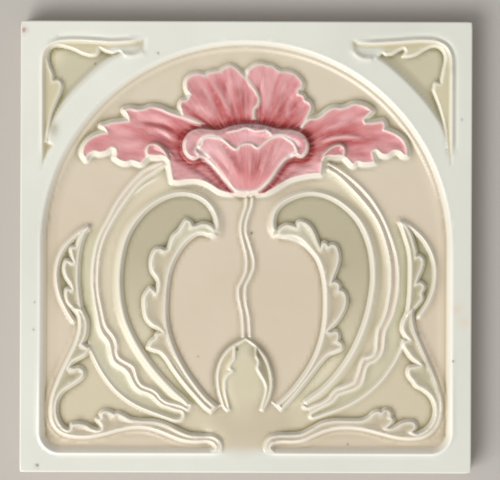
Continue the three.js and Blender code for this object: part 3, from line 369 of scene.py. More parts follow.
# %% Which lines belong together, left and right
BIG_LEAVES = (
    (LEAF_CREST_LEFT, LEAF_LIP_LEFT, LEAF_VEIN_LEFT),
    (LEAF_CREST_RIGHT, LEAF_LIP_RIGHT, LEAF_VEIN_RIGHT),
)
SIDE_LEAVES = (
    (SIDE_LEAF_CREST_LEFT, SIDE_LEAF_LIP_LEFT, OUTER_LINE_TOP_LEFT),
    (SIDE_LEAF_CREST_RIGHT, SIDE_LEAF_LIP_RIGHT, OUTER_LINE_TOP_RIGHT),
)
SCROLLS = (
    (SCROLL_LIP_LEFT, SCROLL_CREST_LEFT),
    (SCROLL_LIP_RIGHT, SCROLL_CREST_RIGHT),
)
STEMS = (
    (STEM_OUTER_LEFT, STEM_INNER_LEFT),
    (STEM_OUTER_RIGHT, STEM_INNER_RIGHT),
)
MIDDLE_STEM = (MIDDLE_STEM_LEFT, MIDDLE_STEM_RIGHT)
print("pairs of lines:", len(BIG_LEAVES + SIDE_LEAVES + SCROLLS + STEMS + MIDDLE_STEM))

# %% [markdown]
# ## From drawn lines to fields
# The face is worked out on a square sheet of points. Every drawn line becomes a field on that
# sheet: how far each point lies from the line, and, for a closed outline, whether it is inside.
# A height is then a function of distance, as a moulding plane would cut it. Curves turned into
# tubes and joined with booleans would also work, but they leave hard creases where a wet glaze
# leaves soft ones.

# %% The sheet of points
COARSE_CELLS = 120
FINE_PER_COARSE = 4
flat_half = half_side - ARRIS
axis = np.linspace(-flat_half, flat_half, COARSE_CELLS * FINE_PER_COARSE + 1)
pitch = axis[1] - axis[0]
X, Y = np.meshgrid(axis, axis)
print("fine pitch, mm:", round(pitch, 3), "points:", X.size)

# %% A smooth curve through drawn points
def curve_run(points, steps=8):
    """Centripetal Catmull-Rom curve through a run of points.

    Each span blends three pairs of straight lines by the square roots of the gaps between points,
    so the curve passes through every point and never overshoots a tight bend.
    """
    p = np.asarray(points, float)
    if len(p) == 2:
        return p
    padded = np.vstack([2 * p[0] - p[1], p, 2 * p[-1] - p[-2]])
    gaps = np.sqrt(np.linalg.norm(np.diff(padded, axis=0), axis=1))
    knot = np.concatenate([[0.0], np.cumsum(gaps)])
    i = np.arange(len(p) - 1)
    u = np.arange(steps) / steps
    t = knot[i + 1][:, None] * (1 - u) + knot[i + 2][:, None] * u
    at = [padded[i + k][:, None, :] for k in range(4)]
    when = [knot[i + k][:, None] for k in range(4)]

    def between(a, b, start, stop):
        share = ((t - start) / (stop - start))[..., None]
        return a * (1 - share) + b * share

    first = [between(at[k], at[k + 1], when[k], when[k + 1]) for k in range(3)]
    second = [between(first[k], first[k + 1], when[k], when[k + 2]) for k in range(2)]
    spans = between(second[0], second[1], when[1], when[2])
    return np.vstack([spans.reshape(-1, 2), p[-1:]])


def drawn(points, closed=False, step=0.4):
    """A drawn line as evenly spaced points: one smooth curve between each two sharp corners."""
    places = [p[:2] for p in points]
    sharp = [len(p) == 3 for p in points]
    if closed:
        first = sharp.index(True) if any(sharp) else 0
        places = places[first:] + places[:first] + [places[first]]
        sharp = sharp[first:] + sharp[:first] + [True]
    cuts = [0] + [i for i in range(1, len(places) - 1) if sharp[i]] + [len(places) - 1]
    runs = [curve_run(places[a:b + 1]) for a, b in zip(cuts, cuts[1:])]
    evened = []
    for run in runs:
        far = np.concatenate([[0.0], np.cumsum(np.linalg.norm(np.diff(run, axis=0), axis=1))])
        even = np.linspace(0, far[-1], max(2, int(round(far[-1] / step)) + 1))
        evened.append(np.column_stack([np.interp(even, far, run[:, k]) for k in (0, 1)])[:-1])
    line = np.vstack(evened)
    return line if closed else np.vstack([line, runs[-1][-1:]])


print("the left leaf's lip is", len(drawn(LEAF_LIP_LEFT)), "steps of 0.4 mm")

# %% Distance from a line, and inside or outside an outline
def line_field(path, reach=4.0, closed=False):
    """Distance of every point of the sheet to a path, and how far along the path that is (0 to 1).

    Each short piece of the path is stamped on the square patch of points within its reach, and
    every point keeps the least distance. Past the reach the distance stays at the reach.
    """
    start = path
    stop = np.roll(path, -1, axis=0) if closed else np.vstack([path[1:], path[-1:]])
    if not closed:
        start, stop = start[:-1], stop[:-1]
    middle, run = (start + stop) / 2, stop - start
    length = np.maximum(np.linalg.norm(run, axis=1), 1e-9)
    along = run / length[:, None]
    cells = int(np.ceil(reach / pitch)) + 1
    step = np.arange(-cells, cells + 1)
    rows = np.rint((middle[:, 1] + flat_half) / pitch).astype(int)[:, None, None] + step[:, None]
    cols = np.rint((middle[:, 0] + flat_half) / pitch).astype(int)[:, None, None] + step[None, :]
    rows, cols = np.broadcast_arrays(rows, cols)
    ok = (rows >= 0) & (rows < len(axis)) & (cols >= 0) & (cols < len(axis))
    piece = np.broadcast_to(np.arange(len(middle))[:, None, None], rows.shape)[ok]
    grid_point = rows[ok] * len(axis) + cols[ok]
    dx = axis[cols[ok]] - middle[piece, 0]
    dy = axis[rows[ok]] - middle[piece, 1]
    slide = np.clip(dx * along[piece, 0] + dy * along[piece, 1], -length[piece] / 2, length[piece] / 2)
    away = np.hypot(dx - slide * along[piece, 0], dy - slide * along[piece, 1])
    least = np.full(X.size, float(reach))
    np.minimum.at(least, grid_point, away)
    nearest = away <= least[grid_point] + 1e-9
    share = np.zeros(X.size)
    share[grid_point[nearest]] = (piece[nearest] + 0.5) / len(middle)
    return least.reshape(X.shape), share.reshape(X.shape)


def inside(path):
    """True inside a closed path: a row's points switch side at each place where the path crosses it."""
    ax, ay = path[:, 0], path[:, 1]
    bx, by = np.roll(ax, -1), np.roll(ay, -1)
    crosses = (ay[None, :] > axis[:, None]) != (by[None, :] > axis[:, None])
    row, edge = np.nonzero(crosses)
    where = ax[edge] + (axis[row] - ay[edge]) * (bx[edge] - ax[edge]) / (by[edge] - ay[edge])
    turns = np.zeros((len(axis), len(axis) + 1), int)
    np.add.at(turns, (row, np.searchsorted(axis, where)), 1)
    return np.cumsum(turns, axis=1)[:, :-1] % 2 == 1


def outline_field(path, reach=4.0):
    """Distance to a closed path, counted positive inside it and negative outside it."""
    away, _ = line_field(path, reach, closed=True)
    return np.where(inside(path), away, -away)


def rise(low, high, value):
    """A soft step from 0 to 1 between two values: 3t squared less 2t cubed."""
    t = np.clip((value - low) / (high - low), 0, 1)
    return t * t * (3 - 2 * t)


def bell(distance, width):
    """A rounded crest: e to the power of minus distance over width, squared."""
    return np.exp(-(distance / width) ** 2)


print("the cup covers", int(inside(drawn(CUP, closed=True)).sum() * pitch ** 2), "square mm")

# %% [markdown]
# ## The body, the panel and its arch
# The frame is the tile's highest flat. The panel inside it is a square with an arch on top,
# and its wall is a soft cove, because a die has to let the clay go. A fine bead runs round
# inside the arch. At the foot of the panel the ground runs up to the frame in a ramp.

# %% The panel's wall, the bead and the ramp
COVE_TOP, COVE_REST = 0.66, 0.34
RAMP_HALF, RAMP_LENGTH = 9.6, 18.0
BEAD_RADIUS, BEAD_HEIGHT, BEAD_WIDTH = 66.9, 0.34, 0.8
radius = np.hypot(X, Y)
corner_x = np.maximum(np.abs(X) - (PANEL_HALF - PANEL_CORNER), 0)
corner_y = np.maximum(-Y - (PANEL_HALF - PANEL_CORNER), 0)
square = np.minimum(PANEL_HALF - np.abs(X), PANEL_HALF + Y)
rounded = np.where((corner_x > 0) & (corner_y > 0), PANEL_CORNER - np.hypot(corner_x, corner_y), square)
panel = np.where(Y > 0, PANEL_HALF - radius, rounded)

wall = PANEL_DEPTH * (1 - COVE_TOP * rise(-0.7, 1.7, panel) - COVE_REST * rise(-0.3, 5.5, panel))
wall = wall + (0.06 + 0.3 * rise(-30, -62, Y)) * bell(panel + 0.65, 0.5)
ramp_half = RAMP_HALF + 4 * rise(-66, -60, Y)
ramp = PANEL_DEPTH * (1 - rise(-2.5, RAMP_LENGTH, Y + PANEL_HALF))
in_ramp = np.exp(-(np.abs(X) / ramp_half) ** 6) * (Y < 0)
relief = wall * (1 - in_ramp) + np.maximum(ramp, 0) * in_ramp
on_arch = rise(0.1, 0.5, Y / np.maximum(radius, 1))
relief = relief + BEAD_HEIGHT * bell(radius - BEAD_RADIUS, BEAD_WIDTH) * on_arch
ground = relief.copy()
print("relief of the frame over the field, mm:", round(float(relief.max()), 2))

# %% [markdown]
# ## Ways to lay clay on the sheet
# Three moves make all the ornament. A ridge is a rounded crest along a line. A band is a
# plateau with a raised lip round its edge and a shallow dish inside. A petal is laid over
# what is behind it, as the modeller laid one sheet of clay on another. The numbers in every
# rise and bell are millimetres: a place on the drawing, or a distance from a line.

# %% Ridge and band
RIDGE_REACH = 4.0
FOOT_SHARE, FOOT_SPREAD = 0.16, 2.4
crest_mark = np.zeros(X.shape)
ridges = np.zeros(X.shape)


def fade_ends(share, start, stop):
    """A soft step up over the first share of a line and down over the last."""
    return rise(0, start, share) * rise(0, stop, 1 - share)


def ridge(points, height, width, fade):
    """Raises a crest along a line: height times a bell of the distance, fading at both ends.

    Where two crests meet, the higher of them counts, so they join without a knot.
    """
    global relief, crest_mark, ridges
    away, share = line_field(drawn(points))
    ends = fade_ends(share, *fade)
    foot = FOOT_SHARE * height * bell(away, FOOT_SPREAD * width)
    top = (1 - FOOT_SHARE) * height * bell(away, width)
    raised = ends * np.where(away < RIDGE_REACH, top + foot, 0)
    relief = relief + np.maximum(raised - ridges, 0)
    ridges = np.maximum(ridges, raised)
    crest_mark = np.maximum(crest_mark, ends * bell(away, 0.36))


def band(outline, height, lip, dish, run, inset=3.0):
    """Raises a plateau: a soft step at the outline, a lip just inside it, and a dish further in."""
    global relief, crest_mark
    depth = outline_field(outline)
    step = height * rise(-run, 0.3, depth)
    edge = lip * bell(depth - 0.2, 0.55)
    hollow = dish * rise(0.3, inset, depth)
    relief = relief + step + edge - hollow
    crest_mark = np.maximum(crest_mark, bell(depth - 0.1, 0.42))
    return depth


def closed_band(lip, back):
    """The closed outline between a toothed lip and the line at the band's back."""
    return np.vstack([drawn(lip), drawn(back)[::-1]])


# %% [markdown]
# ## Leaves and stems
# The stems are pairs of thin crests with a narrow channel between them. A big leaf is a low
# blade with a crest round its outside; its toothed band stands about a millimetre above it.

# %% The big leaves and the whiplash stems
for crest_line, lip_line, vein in BIG_LEAVES:
    blade = outline_field(np.vstack([drawn(crest_line), drawn(lip_line)]), 7.0)
    relief = relief - 0.25 * rise(0.2, 2.5, blade) + 0.2 * rise(2.0, 7.0, blade)
    ridge(crest_line, 1.1, 0.8, (0.01, 0.01))
    away, share = line_field(drawn(crest_line))
    outer_slope = 0.5 * bell(away - 1.0, 1.1) * rise(0.6, -0.6, blade)
    relief = relief + outer_slope * rise(20, 5, Y) * rise(0, 0.06, share)
    leaf_band = band(closed_band(lip_line, vein), height=1.05, lip=0.3, dish=0.35, run=1.35)
    relief = relief - 0.3 * bell(leaf_band - 0.95, 0.35) * rise(-36, -42, Y)
    relief = relief - 0.5 * rise(-1.35, 0.3, leaf_band) * rise(-44, -53, Y) * (X > 0)
for (outer, inner), outer_height in zip(STEMS, (0.9, 0.7)):
    ridge(outer, outer_height, 0.66, (0.01, 0.004))
    ridge(inner, 0.9, 0.66, (0.01, 0.004))
right_trough = outline_field(np.vstack([drawn(STEM_INNER_RIGHT), drawn(LEAF_CREST_RIGHT)]), 6.0)
away, _ = line_field(drawn(STEM_INNER_RIGHT), 6.0)
relief = relief + 0.45 * bell(away - 1.0, 1.5) * (right_trough > 0) * rise(-22, 0, Y) * rise(28, 25, Y)
away, _ = line_field(drawn(STEM_OUTER_LEFT), 6.0)
left_of_stem = outline_field(np.vstack([drawn(STEM_OUTER_LEFT), drawn(OUTER_LINE_TOP_LEFT)[::-1]]), 6.0)
lit_slope = bell(away - 1.0, 0.9) * (left_of_stem > 0) * rise(-14, -28, Y) * rise(-56, -46, Y)
relief = relief + 0.14 * lit_slope
print("highest leaf, mm above the field:", round(float(relief[np.abs(Y) < 20].max()), 2))

# %% The side leaves, scrolls, middle stem and bud
for (crest_line, lip_line, back_line), (scroll_lip, scroll_crest) in zip(SIDE_LEAVES, SCROLLS):
    ridge(crest_line, 0.95, 0.75, (0.02, 0.05))
    band(closed_band(lip_line, back_line), height=0.95, lip=0.3, dish=0.3, run=1.1)
    scroll_band = band(closed_band(scroll_lip, scroll_crest), height=1.05, lip=0.34, dish=0.4, run=1.25)
    away, share = line_field(drawn(scroll_crest))
    slope = 0.32 * bell(away - 1.4, 0.9) * (scroll_band < 0)
    relief = relief + slope * fade_ends(share, 0.1, 0.1)
for line in MIDDLE_STEM:
    ridge(line, 0.6, 0.55, (0.01, 0.01))

bud = outline_field(np.vstack([drawn(BUD_LEFT), [[-7, -64], [7, -64]], drawn(BUD_RIGHT)[::-1]]), 9.0)
relief = relief + 0.75 * rise(-0.3, 5.0, bud) * rise(-61, -47, Y)
sepals = []
for outer, inner in ((BUD_LEFT, SEPAL_LEFT), (BUD_RIGHT, SEPAL_RIGHT)):
    sepal_outline = closed_band(outer, inner)
    sepals.append(band(sepal_outline, height=0.35, lip=0.42, dish=0.2, run=0.6, inset=1.6))
for joint in (
    [(-11.6, -55.3), (-9.8, -54.2), (-8.1, -53.3)],
    [(10.9, -53.7), (10.2, -53.1), (9.2, -52.3)],
):
    away, _ = line_field(drawn(joint))
    relief = np.maximum(relief, 0.36 * bell(away, 0.45))
    crest_mark = np.maximum(crest_mark, 0.7 * bell(away, 0.3))
LEAF_CURL_LINE = [
    (10, 4.4), (12.3, 3.2), (14.9, 2.8), (17.4, 1.9), (20, 0.4), (22.5, -1.7), (24.2, -3.4),
]
STEM_FOOT_LINE = [(-28, 24.4), (-29.2, 23.4), (-31.5, 22.2), (-34.6, 20.3), (-37.7, 17.6), (-40, 15.3)]
ridge(LEAF_CURL_LINE, 0.25, 0.6, (0.2, 0.3))
ridge(STEM_FOOT_LINE, 0.25, 0.5, (0.3, 0.4))

SOFT_LIMIT = 1.1
too_high = (panel > 3) & (Y > -61) & (relief > SOFT_LIMIT)
relief = np.where(too_high, SOFT_LIMIT + 0.45 * (relief - SOFT_LIMIT), relief)
at_foot = Y < -62
in_panel = np.where(at_foot, rise(-0.9, 0.5, panel), 1)
held = np.where(at_foot, np.minimum(relief, PANEL_DEPTH + 0.14), relief)
relief = ground + (held - ground) * in_panel
crest_mark = crest_mark * in_panel
# A pale line along the frame's edge, below the arch and strongest at the foot: thin glaze on the arris, and
# painted highlight on that lit edge.
frame_edge_thin_glaze_and_highlight = bell(panel + 0.6, 0.5) * (1 - in_ramp) * rise(8, -8, Y) * (0.5 + 0.5 * rise(-40, -62, Y))
by_bud = (np.abs(X) < 10) & (Y < -32) & (Y > -55)
print("bud crest, mm above the field:", round(float(relief[by_bud].max()), 2))

# %% [markdown]
# ## The leaves in the upper corners
# Above the arch the frame is sunk in two corners. A small toothed leaf stands along the two
# outer sides of each, and a thin crest parts it from the frame. Towards the arch the floor
# rises in a slope to the band, gentler in the right corner.

# %% Corner floors and their leaves
corner_floors = []
corner_leaves = []
for lip_line, crest_line, band_line, inner_x, band_slope in (
    (CORNER_LIP_LEFT, CORNER_CREST_LEFT, CORNER_BAND_LEFT, -44, 2.8),
    (CORNER_LIP_RIGHT, CORNER_CREST_RIGHT, CORNER_BAND_RIGHT, 44, 4.0),
):
    lip_path = drawn(lip_line)
    crest_path = drawn(crest_line)
    band_path = drawn(band_line)
    sunk = outline_field(np.vstack([crest_path, band_path[::-1]]))
    corner_hollow = outline_field(np.vstack([lip_path, [[inner_x, 44]]]), 6.0)
    to_band, _ = line_field(band_path, 6.0)
    to_band = np.where(sunk > 0, to_band, -to_band)
    outside, share = line_field(crest_path)
    ends = fade_ends(share, 0.12, 0.12)
    in_shade = ends * rise(-68, -62, X)
    relief = relief - 0.5 * rise(-0.5, 1.5, sunk) - 0.34 * in_shade * bell(outside - 1.2, 0.7) * (sunk < 0)
    relief = relief - (CORNER_DEPTH - 0.6) * rise(-0.5, 0.6, corner_hollow) * rise(-0.4, band_slope, to_band)
    away, _ = line_field(lip_path)
    relief = relief + 0.3 * bell(away, 0.5)
    crest_mark = np.maximum(crest_mark, bell(away, 0.4))
    ridge(crest_line, 0.42, 0.55, (0.1, 0.14))
    corner_floors.append(np.minimum(corner_hollow, to_band))
    corner_leaves.append((sunk, to_band))
for tip in (
    [(-42, 64.9), (-41.4, 64.7), (-38.5, 64.2), (-35.6, 64.9), (-34.2, 66.2)],
    [(35.7, 66.9), (36.6, 65.1), (38.4, 63.8), (40.6, 63.3), (43.1, 63.6)],
):
    ridge(tip, 0.42, 0.9, (0.2, 0.2))
print("corner floors, mm above the field:", round(float(relief[corner_floors[0] > 2].min()), 2))

# %% [markdown]
# ## The flower
# The petals stand highest, up to 3.3 mm over the field. Each has a thin raised rim, a hollow
# middle and soft folds that run to the heart. The cup in front is a sheet curled back on
# itself, so it gets a round roll along its edge. The petals sink towards it on all sides.

# %% Laying a petal
cup_field = outline_field(drawn(CUP, closed=True), 9.0)
petal_cover = np.zeros(X.shape)


def lay(points, own, wall=1.0, reach=9.0, gap=0.14, pale=0.0):
    """Lays a petal over what is there: the height fades from the old to the petal's own at its wall.

    The petal's own height is a function of the depth inside its outline. A shallow gap is
    pressed first just outside the wall, so that one petal stands clear of the next. With pale
    set, the wall at the petal's lower side is painted paler: thin glaze, and painted highlight
    where the light falls on that wall.
    """
    global relief, crest_mark, petal_cover
    depth = outline_field(drawn(points, closed=True), reach)
    cover = rise(-wall, 0.2, depth)
    relief = relief - gap * bell(depth + wall, 0.7) * (relief > 0.4)
    relief = relief * (1 - cover) + own(depth) * cover
    crest_mark = crest_mark * (1 - rise(-0.2, 0.4, depth))
    crest_mark = np.maximum(crest_mark, bell(depth + 0.05, 0.55))
    # Pale lower wall: thin glaze and painted highlight.
    crest_mark = np.maximum(crest_mark, pale * bell(depth + 0.5 * wall, 0.5 * wall) * rise(36, 31, Y))
    petal_cover = petal_cover * (1 - rise(-0.3, 0.3, depth)) + rise(-0.25, 0.3, depth)
    return depth


def folds(lines):
    """Soft folds: each line adds or takes away a height with a bell of its own width."""
    total = np.zeros(X.shape)
    for points, height, width in lines:
        away, share = line_field(drawn(points), 5.0)
        total = total + height * bell(away, width) * fade_ends(share, 0.25, 0.3)
    return total


print("the cup reaches", round(float(cup_field.max()), 1), "mm in from its outline")

# %% The folds of the petals
BACK_FOLDS = [
    ([(-12.7, 56.5), (-8.5, 51), (-6.2, 46.5), (-5, 43.4)], 0.35, 0.9),
    ([(-5.4, 59), (-3.5, 53), (-2.2, 46)], 0.3, 0.9),
    ([(-18, 48.5), (-13.5, 46), (-9.5, 42.6)], 0.3, 0.9),
    ([(-8.8, 58), (-6.2, 52.5), (-4, 46), (-3, 42)], -0.3, 0.9),
    ([(-16.4, 54.5), (-12.3, 50), (-8.6, 44.5)], -0.3, 1.1),
    ([(0.8, 56.5), (1.2, 52), (0.2, 45)], -0.25, 0.9),
    ([(5, 61), (6, 52), (5.6, 44)], 0.35, 0.9),
    ([(13.5, 57), (11.5, 50), (9.5, 43)], 0.35, 0.9),
    ([(4.2, 57.5), (5, 50), (4.4, 43)], -0.3, 0.8),
    ([(10, 59), (9, 50), (7.8, 43)], -0.35, 0.9),
    ([(17.5, 50), (14.5, 45), (12.5, 41.5)], -0.3, 1.1),
]
SIDE_FOLDS = [
    ([(-40, 39.9), (-35, 40.7), (-30, 40.1), (-26.2, 38.4), (-23.1, 36.1)], 0.35, 0.8),
    ([(-36, 41.8), (-30, 41.4), (-26, 40.1), (-22, 37.6)], -0.35, 0.8),
    ([(-36, 39), (-31, 38.9), (-28, 37.6), (-24, 34.6)], -0.35, 0.8),
    ([(-34, 44.2), (-28, 43.4), (-23, 41.4)], 0.2, 1.1),
    ([(-47, 35.4), (-41, 36), (-36, 36), (-32, 36)], 0.15, 1.2),
    ([(24.2, 34.9), (28.5, 36.5), (32.7, 37.2), (36.5, 37.2), (40.4, 36.7)], 0.35, 0.8),
    ([(23.1, 35.7), (26.9, 37.2), (30.8, 38.4), (36.5, 38.4), (41.5, 37.6)], -0.35, 0.8),
    ([(24, 39.6), (30, 41.1), (36.5, 42.8)], 0.25, 0.9),
    ([(23.6, 33), (27, 35), (31.5, 35.6), (36, 35.2)], -0.25, 0.8),
    ([(38, 33.8), (43, 34.6), (49, 35.2)], 0.15, 1.2),
]
FRONT_FOLDS = [
    ([(-1.8, 33.2), (-1, 28), (-0.4, 23.2)], -0.25, 0.8),
    ([(2.4, 32.6), (1.8, 28), (1.2, 23.2)], 0.25, 0.7),
    ([(-10.8, 35.2), (-6.4, 29), (-2.6, 23.2)], 0.2, 1.0),
    ([(-14, 33), (-8.6, 28), (-4.2, 23)], -0.2, 0.9),
    ([(11.6, 35.4), (7.4, 29), (4, 24)], 0.25, 1.0),
    ([(7.4, 34.8), (5, 29), (2.8, 24)], -0.25, 0.8),
    ([(14.6, 33), (10.4, 28.6), (7, 25)], -0.15, 0.9),
]
heart_x = X - 1.0
angle = np.arctan2(Y - 30, heart_x)
ripple = 0.07 * np.cos(22 * angle + 1.7 * np.sin(3 * angle)) + 0.05 * np.cos(37 * angle + 0.6)
print("folds drawn:", len(BACK_FOLDS + SIDE_FOLDS + FRONT_FOLDS))

# %% The back petals and the side petals
near_cup = np.exp(np.minimum(cup_field, 0) / 1.9)
back_folds = 0.55 * folds(BACK_FOLDS) + ripple * rise(-40, -4, cup_field) * rise(2, 9, -cup_field)
side_folds = 0.8 * folds(SIDE_FOLDS) + ripple


def back_height(depth):
    """Back petal: 1.7 mm at its rim, a hollow a few millimetres in, and folds. Its top end is lower."""
    lip = 0.35 * bell(depth - 0.2, 0.5) * rise(62, 50, Y) - 0.3 * rise(50, 60, Y) * rise(3.5, 0.3, depth)
    return 1.4 + lip - 0.35 * rise(0.4, 3.5, depth) + back_folds * rise(0.2, 2.0, depth) - 0.4 * near_cup


def side_height(depth):
    """Side petal: 2.1 mm at its rim, hollowed more towards the cup, and folds."""
    rim = 1.75 + 0.35 * bell(depth - 0.2, 0.5) - 0.4 * rise(0.4, 4.0, depth)
    slope = 0.55 * rise(-22, 0, cup_field)
    return rim + side_folds * rise(0.2, 2.0, depth) - slope - 0.35 * near_cup


back_right = lay(BACK_PETAL_RIGHT, back_height, 1.3)
back_left = lay(BACK_PETAL_LEFT, back_height, 1.3)
side_left = lay(SIDE_PETAL_LEFT, side_height, 1.7, pale=0.9)
side_right = lay(SIDE_PETAL_RIGHT, side_height, 1.7, pale=0.9)
print("side petals, mm above the field:", round(float(relief[side_left > 1].max()), 2))

# %% The turned-over lips of the side petals
LIP_LINE_LEFT = [
    (-33.3, 30.6), (-33.4, 32.6), (-32.8, 34.2), (-31.2, 34.9), (-28, 33.8), (-25.8, 31.8),
    (-23.5, 29.5), (-21.5, 28.4), (-19.2, 27.4), (-15.5, 25), (-12, 22.5), (-8, 19.2),
]
LIP_LINE_RIGHT = [
    (32.9, 30.6), (33, 33.2), (31.7, 34.4), (29.7, 34.1), (27.8, 33), (25.9, 30.6), (23.2, 28.8),
    (20, 27.4), (16.5, 25.6), (13.4, 23), (11.2, 20.8),
]
under_lip = np.full(X.shape, 9.0)
lip_away = np.full(X.shape, 4.0)
for lip_line, foot in ((LIP_LINE_LEFT, (-33, 15)), (LIP_LINE_RIGHT, (33, 15))):
    below = outline_field(np.vstack([drawn(lip_line), [foot]]), 9.0)
    under_lip = np.minimum(under_lip, -below)
    away, share = line_field(drawn(lip_line))
    lip_away = np.minimum(lip_away, away)
    strength = fade_ends(share, 0.05, 0.1)
    relief = relief - 0.3 * bell(away, 0.9) * strength * rise(0.28, 0.42, share)
    relief = relief + 0.5 * bell(away, 0.6) * strength * rise(0.5, 0.36, share)


def lip_height(depth):
    """Turned-over lip: 2.4 mm with a fine rim, falling away from it."""
    return 2.35 + 0.3 * bell(depth - 0.1, 0.45) - 0.7 * rise(0.3, 2.6, depth)


lips = [lay(points, lip_height, 0.7, 4.0) for points in (FOLD_LEFT, FOLD_RIGHT)]
print("lips, mm above the field:", round(float(relief[lips[0] > 0].max()), 2))

# %% The cup and its rolled edge
roll_away, _ = line_field(drawn(CUP_ROLL), 5.0)


def cup_height(depth):
    """Cup: a round roll along its curled edge, lower at the back, and a mouth hollowed inside it."""
    roll = 0.95 * np.clip(1 - (roll_away / 2.7) ** 2, 0, 1) ** 1.5
    roll = roll * (1 - 0.5 * bell(X, 12) * rise(34, 38, Y))
    return 1.95 + roll - 0.1 * rise(1.6, 4.2, depth)


CUP_BACK_RIM = [
    (-7.8, 37.5), (-7, 38), (-6, 38.5), (-4.3, 38.8), (-2.3, 39.2), (-1, 39.8), (0.3, 39.9),
    (1.7, 39.3), (3.3, 38.8), (5, 39), (6.7, 39.2), (7.7, 38.5), (8.7, 37.5), (9.7, 37),
]
CURL_LEFT = [(-19.6, 37), (-20.5, 35), (-20.3, 32.4), (-19.3, 30.9), (-18, 30.1), (-16.7, 30.3)]
CURL_RIGHT = [(19, 37), (20.3, 35.2), (20.2, 33), (19.4, 31.4), (18.2, 30.8), (17, 31)]
cup = lay(CUP, cup_height, 1.3, 9.0, 0.1)
crest_mark = crest_mark * (1 - 0.8 * bell(X, 16) * rise(36.5, 38.5, Y) * (Y < 43) * (np.abs(cup) < 1.5))
crest_mark = crest_mark * (1 - 0.9 * rise(0.1, -0.4, cup) * (cup > -1.8) * (Y < 43))
for line, height in ((CUP_BACK_RIM, 0.35), (CURL_LEFT, 0.25), (CURL_RIGHT, 0.25)):
    ridge(line, height, 0.5, (0.15, 0.1))
print("cup roll, mm above the field:", round(float(relief[cup > 0.5].max()), 2))

# %% The front petal
FRONT_RIM = [
    (-15, 30.8), (-16.2, 31.2), (-16.9, 32), (-17, 33), (-16.3, 33.7), (-15.2, 34), (-14.7, 35),
    (-14.5, 36), (-13.3, 36.7), (-11.7, 36.8), (-9.7, 36.5), (-8, 36.2), (-6.3, 35), (-5, 33.7),
    (-3.7, 32.8), (-2.7, 33), (-1.8, 34.2), (0, 34.7), (2, 34.7), (3, 33.7), (4, 33.3), (5, 34),
    (6.3, 35.3), (8, 36.3), (10, 37), (12, 37.2), (13, 36.8), (14.7, 35.7), (16, 34.7), (16.7, 33.3),
    (17, 31.8), (17.7, 31), (19, 30.8), (20.3, 31.7),
]
front_folds = folds(FRONT_FOLDS)


def front_height(depth):
    """Front petal: bulges towards its middle, with folds that run down to the foot."""
    bulge = 0.35 * rise(0, 6.0, depth)
    return 2.3 + bulge + 0.6 * front_folds * rise(0.2, 1.8, depth) - 0.5 * rise(26, 19, Y)


front = lay(FRONT_PETAL, front_height, 0.6, 9.0, 0.1)
crest_mark = crest_mark * (1 - rise(-2.2, -1.0, front) * rise(31.5, 29, Y))
ridge(FRONT_RIM, 0.42, 0.5, (0.02, 0.02))
CUP_EDGE = [
    (-14.6, 30.4), (-12.2, 28.4), (-9.3, 25.3), (-6.8, 22.3), (-4.3, 19.7), (-2.2, 18.7), (0, 18.5),
    (2.2, 18.6), (4.2, 19.3), (6.4, 21), (8.8, 23.6), (11.2, 27.2), (13, 29.4), (15, 30.8),
]
ridge(CUP_EDGE, 0.4, 0.75, (0.05, 0.05))
print("front petal, mm above the field:", round(float(relief[front > 0.5].max()), 2))

# %% [markdown]
# ## Colour where the glaze ran
# Coloured glaze was flooded over the relief. The maker used a pale celadon on the frame, a
# warm cream on the field, an olive on the leaves and a rose on the petals. Each zone's colour
# is painted on the sheet with a soft edge, a screen value from 0 to 255, and the later coat
# covers the earlier one. The crests then show paler, because the glaze is thin there, and the
# hollows deeper.

# %% Paint for a zone
def linear(*value):
    """A colour given in screen values from 0 to 255, as the linear values that light works in."""
    v = np.array(value, float) / 255
    return np.where(v <= 0.04045, v / 12.92, ((v + 0.055) / 1.055) ** 2.4)


def blur(field, size):
    """A field smoothed by a Gaussian of the given size in millimetres, rows first, then columns."""
    cells = int(np.ceil(3 * size / pitch))
    weight = np.exp(-0.5 * (np.arange(-cells, cells + 1) * pitch / size) ** 2)
    weight /= weight.sum()
    for _ in range(2):
        padded = np.pad(field, ((0, 0), (cells, cells)), mode="edge")
        slices = [w * padded[:, k:k + field.shape[1]] for k, w in enumerate(weight)]
        field = np.sum(slices, axis=0).T
    return field


tint = np.zeros(X.shape + (3,))


def paint(cover, colour):
    """Lays a colour over the sheet: what was there times one less the cover, plus the colour's share."""
    global tint
    opaque = np.clip(cover, 0, 1)[..., None]
    tint = tint * (1 - opaque) + linear(*colour) * opaque


def spot(x, y, size, wide=1.0, tall=1.0):
    """A soft round patch: a bell of the distance from a place, stretched to an oval if need be."""
    return bell(np.hypot((X - x) / wide, (Y - y) / tall), size)


def zone(*paths, soft=0.5):
    """How far a point is inside the outline that joins these lines, as a soft step."""
    return rise(-soft, soft, outline_field(np.vstack(paths)))


print("cream in linear light:", np.round(linear(219, 204, 181), 3))

# %% The grounds
CELADON = (225, 225, 214)
tips = []
channels = np.zeros(X.shape)
paint(np.ones(X.shape), (216, 201, 179))
paint(rise(-10, 60, Y), (221, 208, 186))
paint(0.8 * rise(62, 70, np.abs(X)) * rise(10, -10, Y), (229, 214, 189))
for (outer, inner), (crest_line, _, _), (_, _, back_line), join_at in zip(
    STEMS, BIG_LEAVES, SIDE_LEAVES, ((-44, 14), (43, 16)),
):
    inner_path = drawn(inner)
    paint(zone(inner_path, drawn(crest_line)), (221, 210, 184))
    outer_path = drawn(outer)
    tip = int(np.argmin(np.abs(outer_path[:, 0]) + 100 * (outer_path[:, 1] > -50)))
    channel = zone(outer_path[:tip], inner_path[::-1])
    channels = np.maximum(channels, channel)
    paint(channel, (222, 206, 185))
    trough = zone(outer_path[20:], drawn(back_line)[::-1], [join_at])
    paint(trough * rise(14, 0, Y), (218, 211, 182))
    paint(trough * rise(-22, -36, Y), (210, 202, 174))
    tips.append(outer_path[tip:])
# Painted highlight along the lit slope outside the left stem.
paint(0.8 * lit_slope, (236, 231, 208))
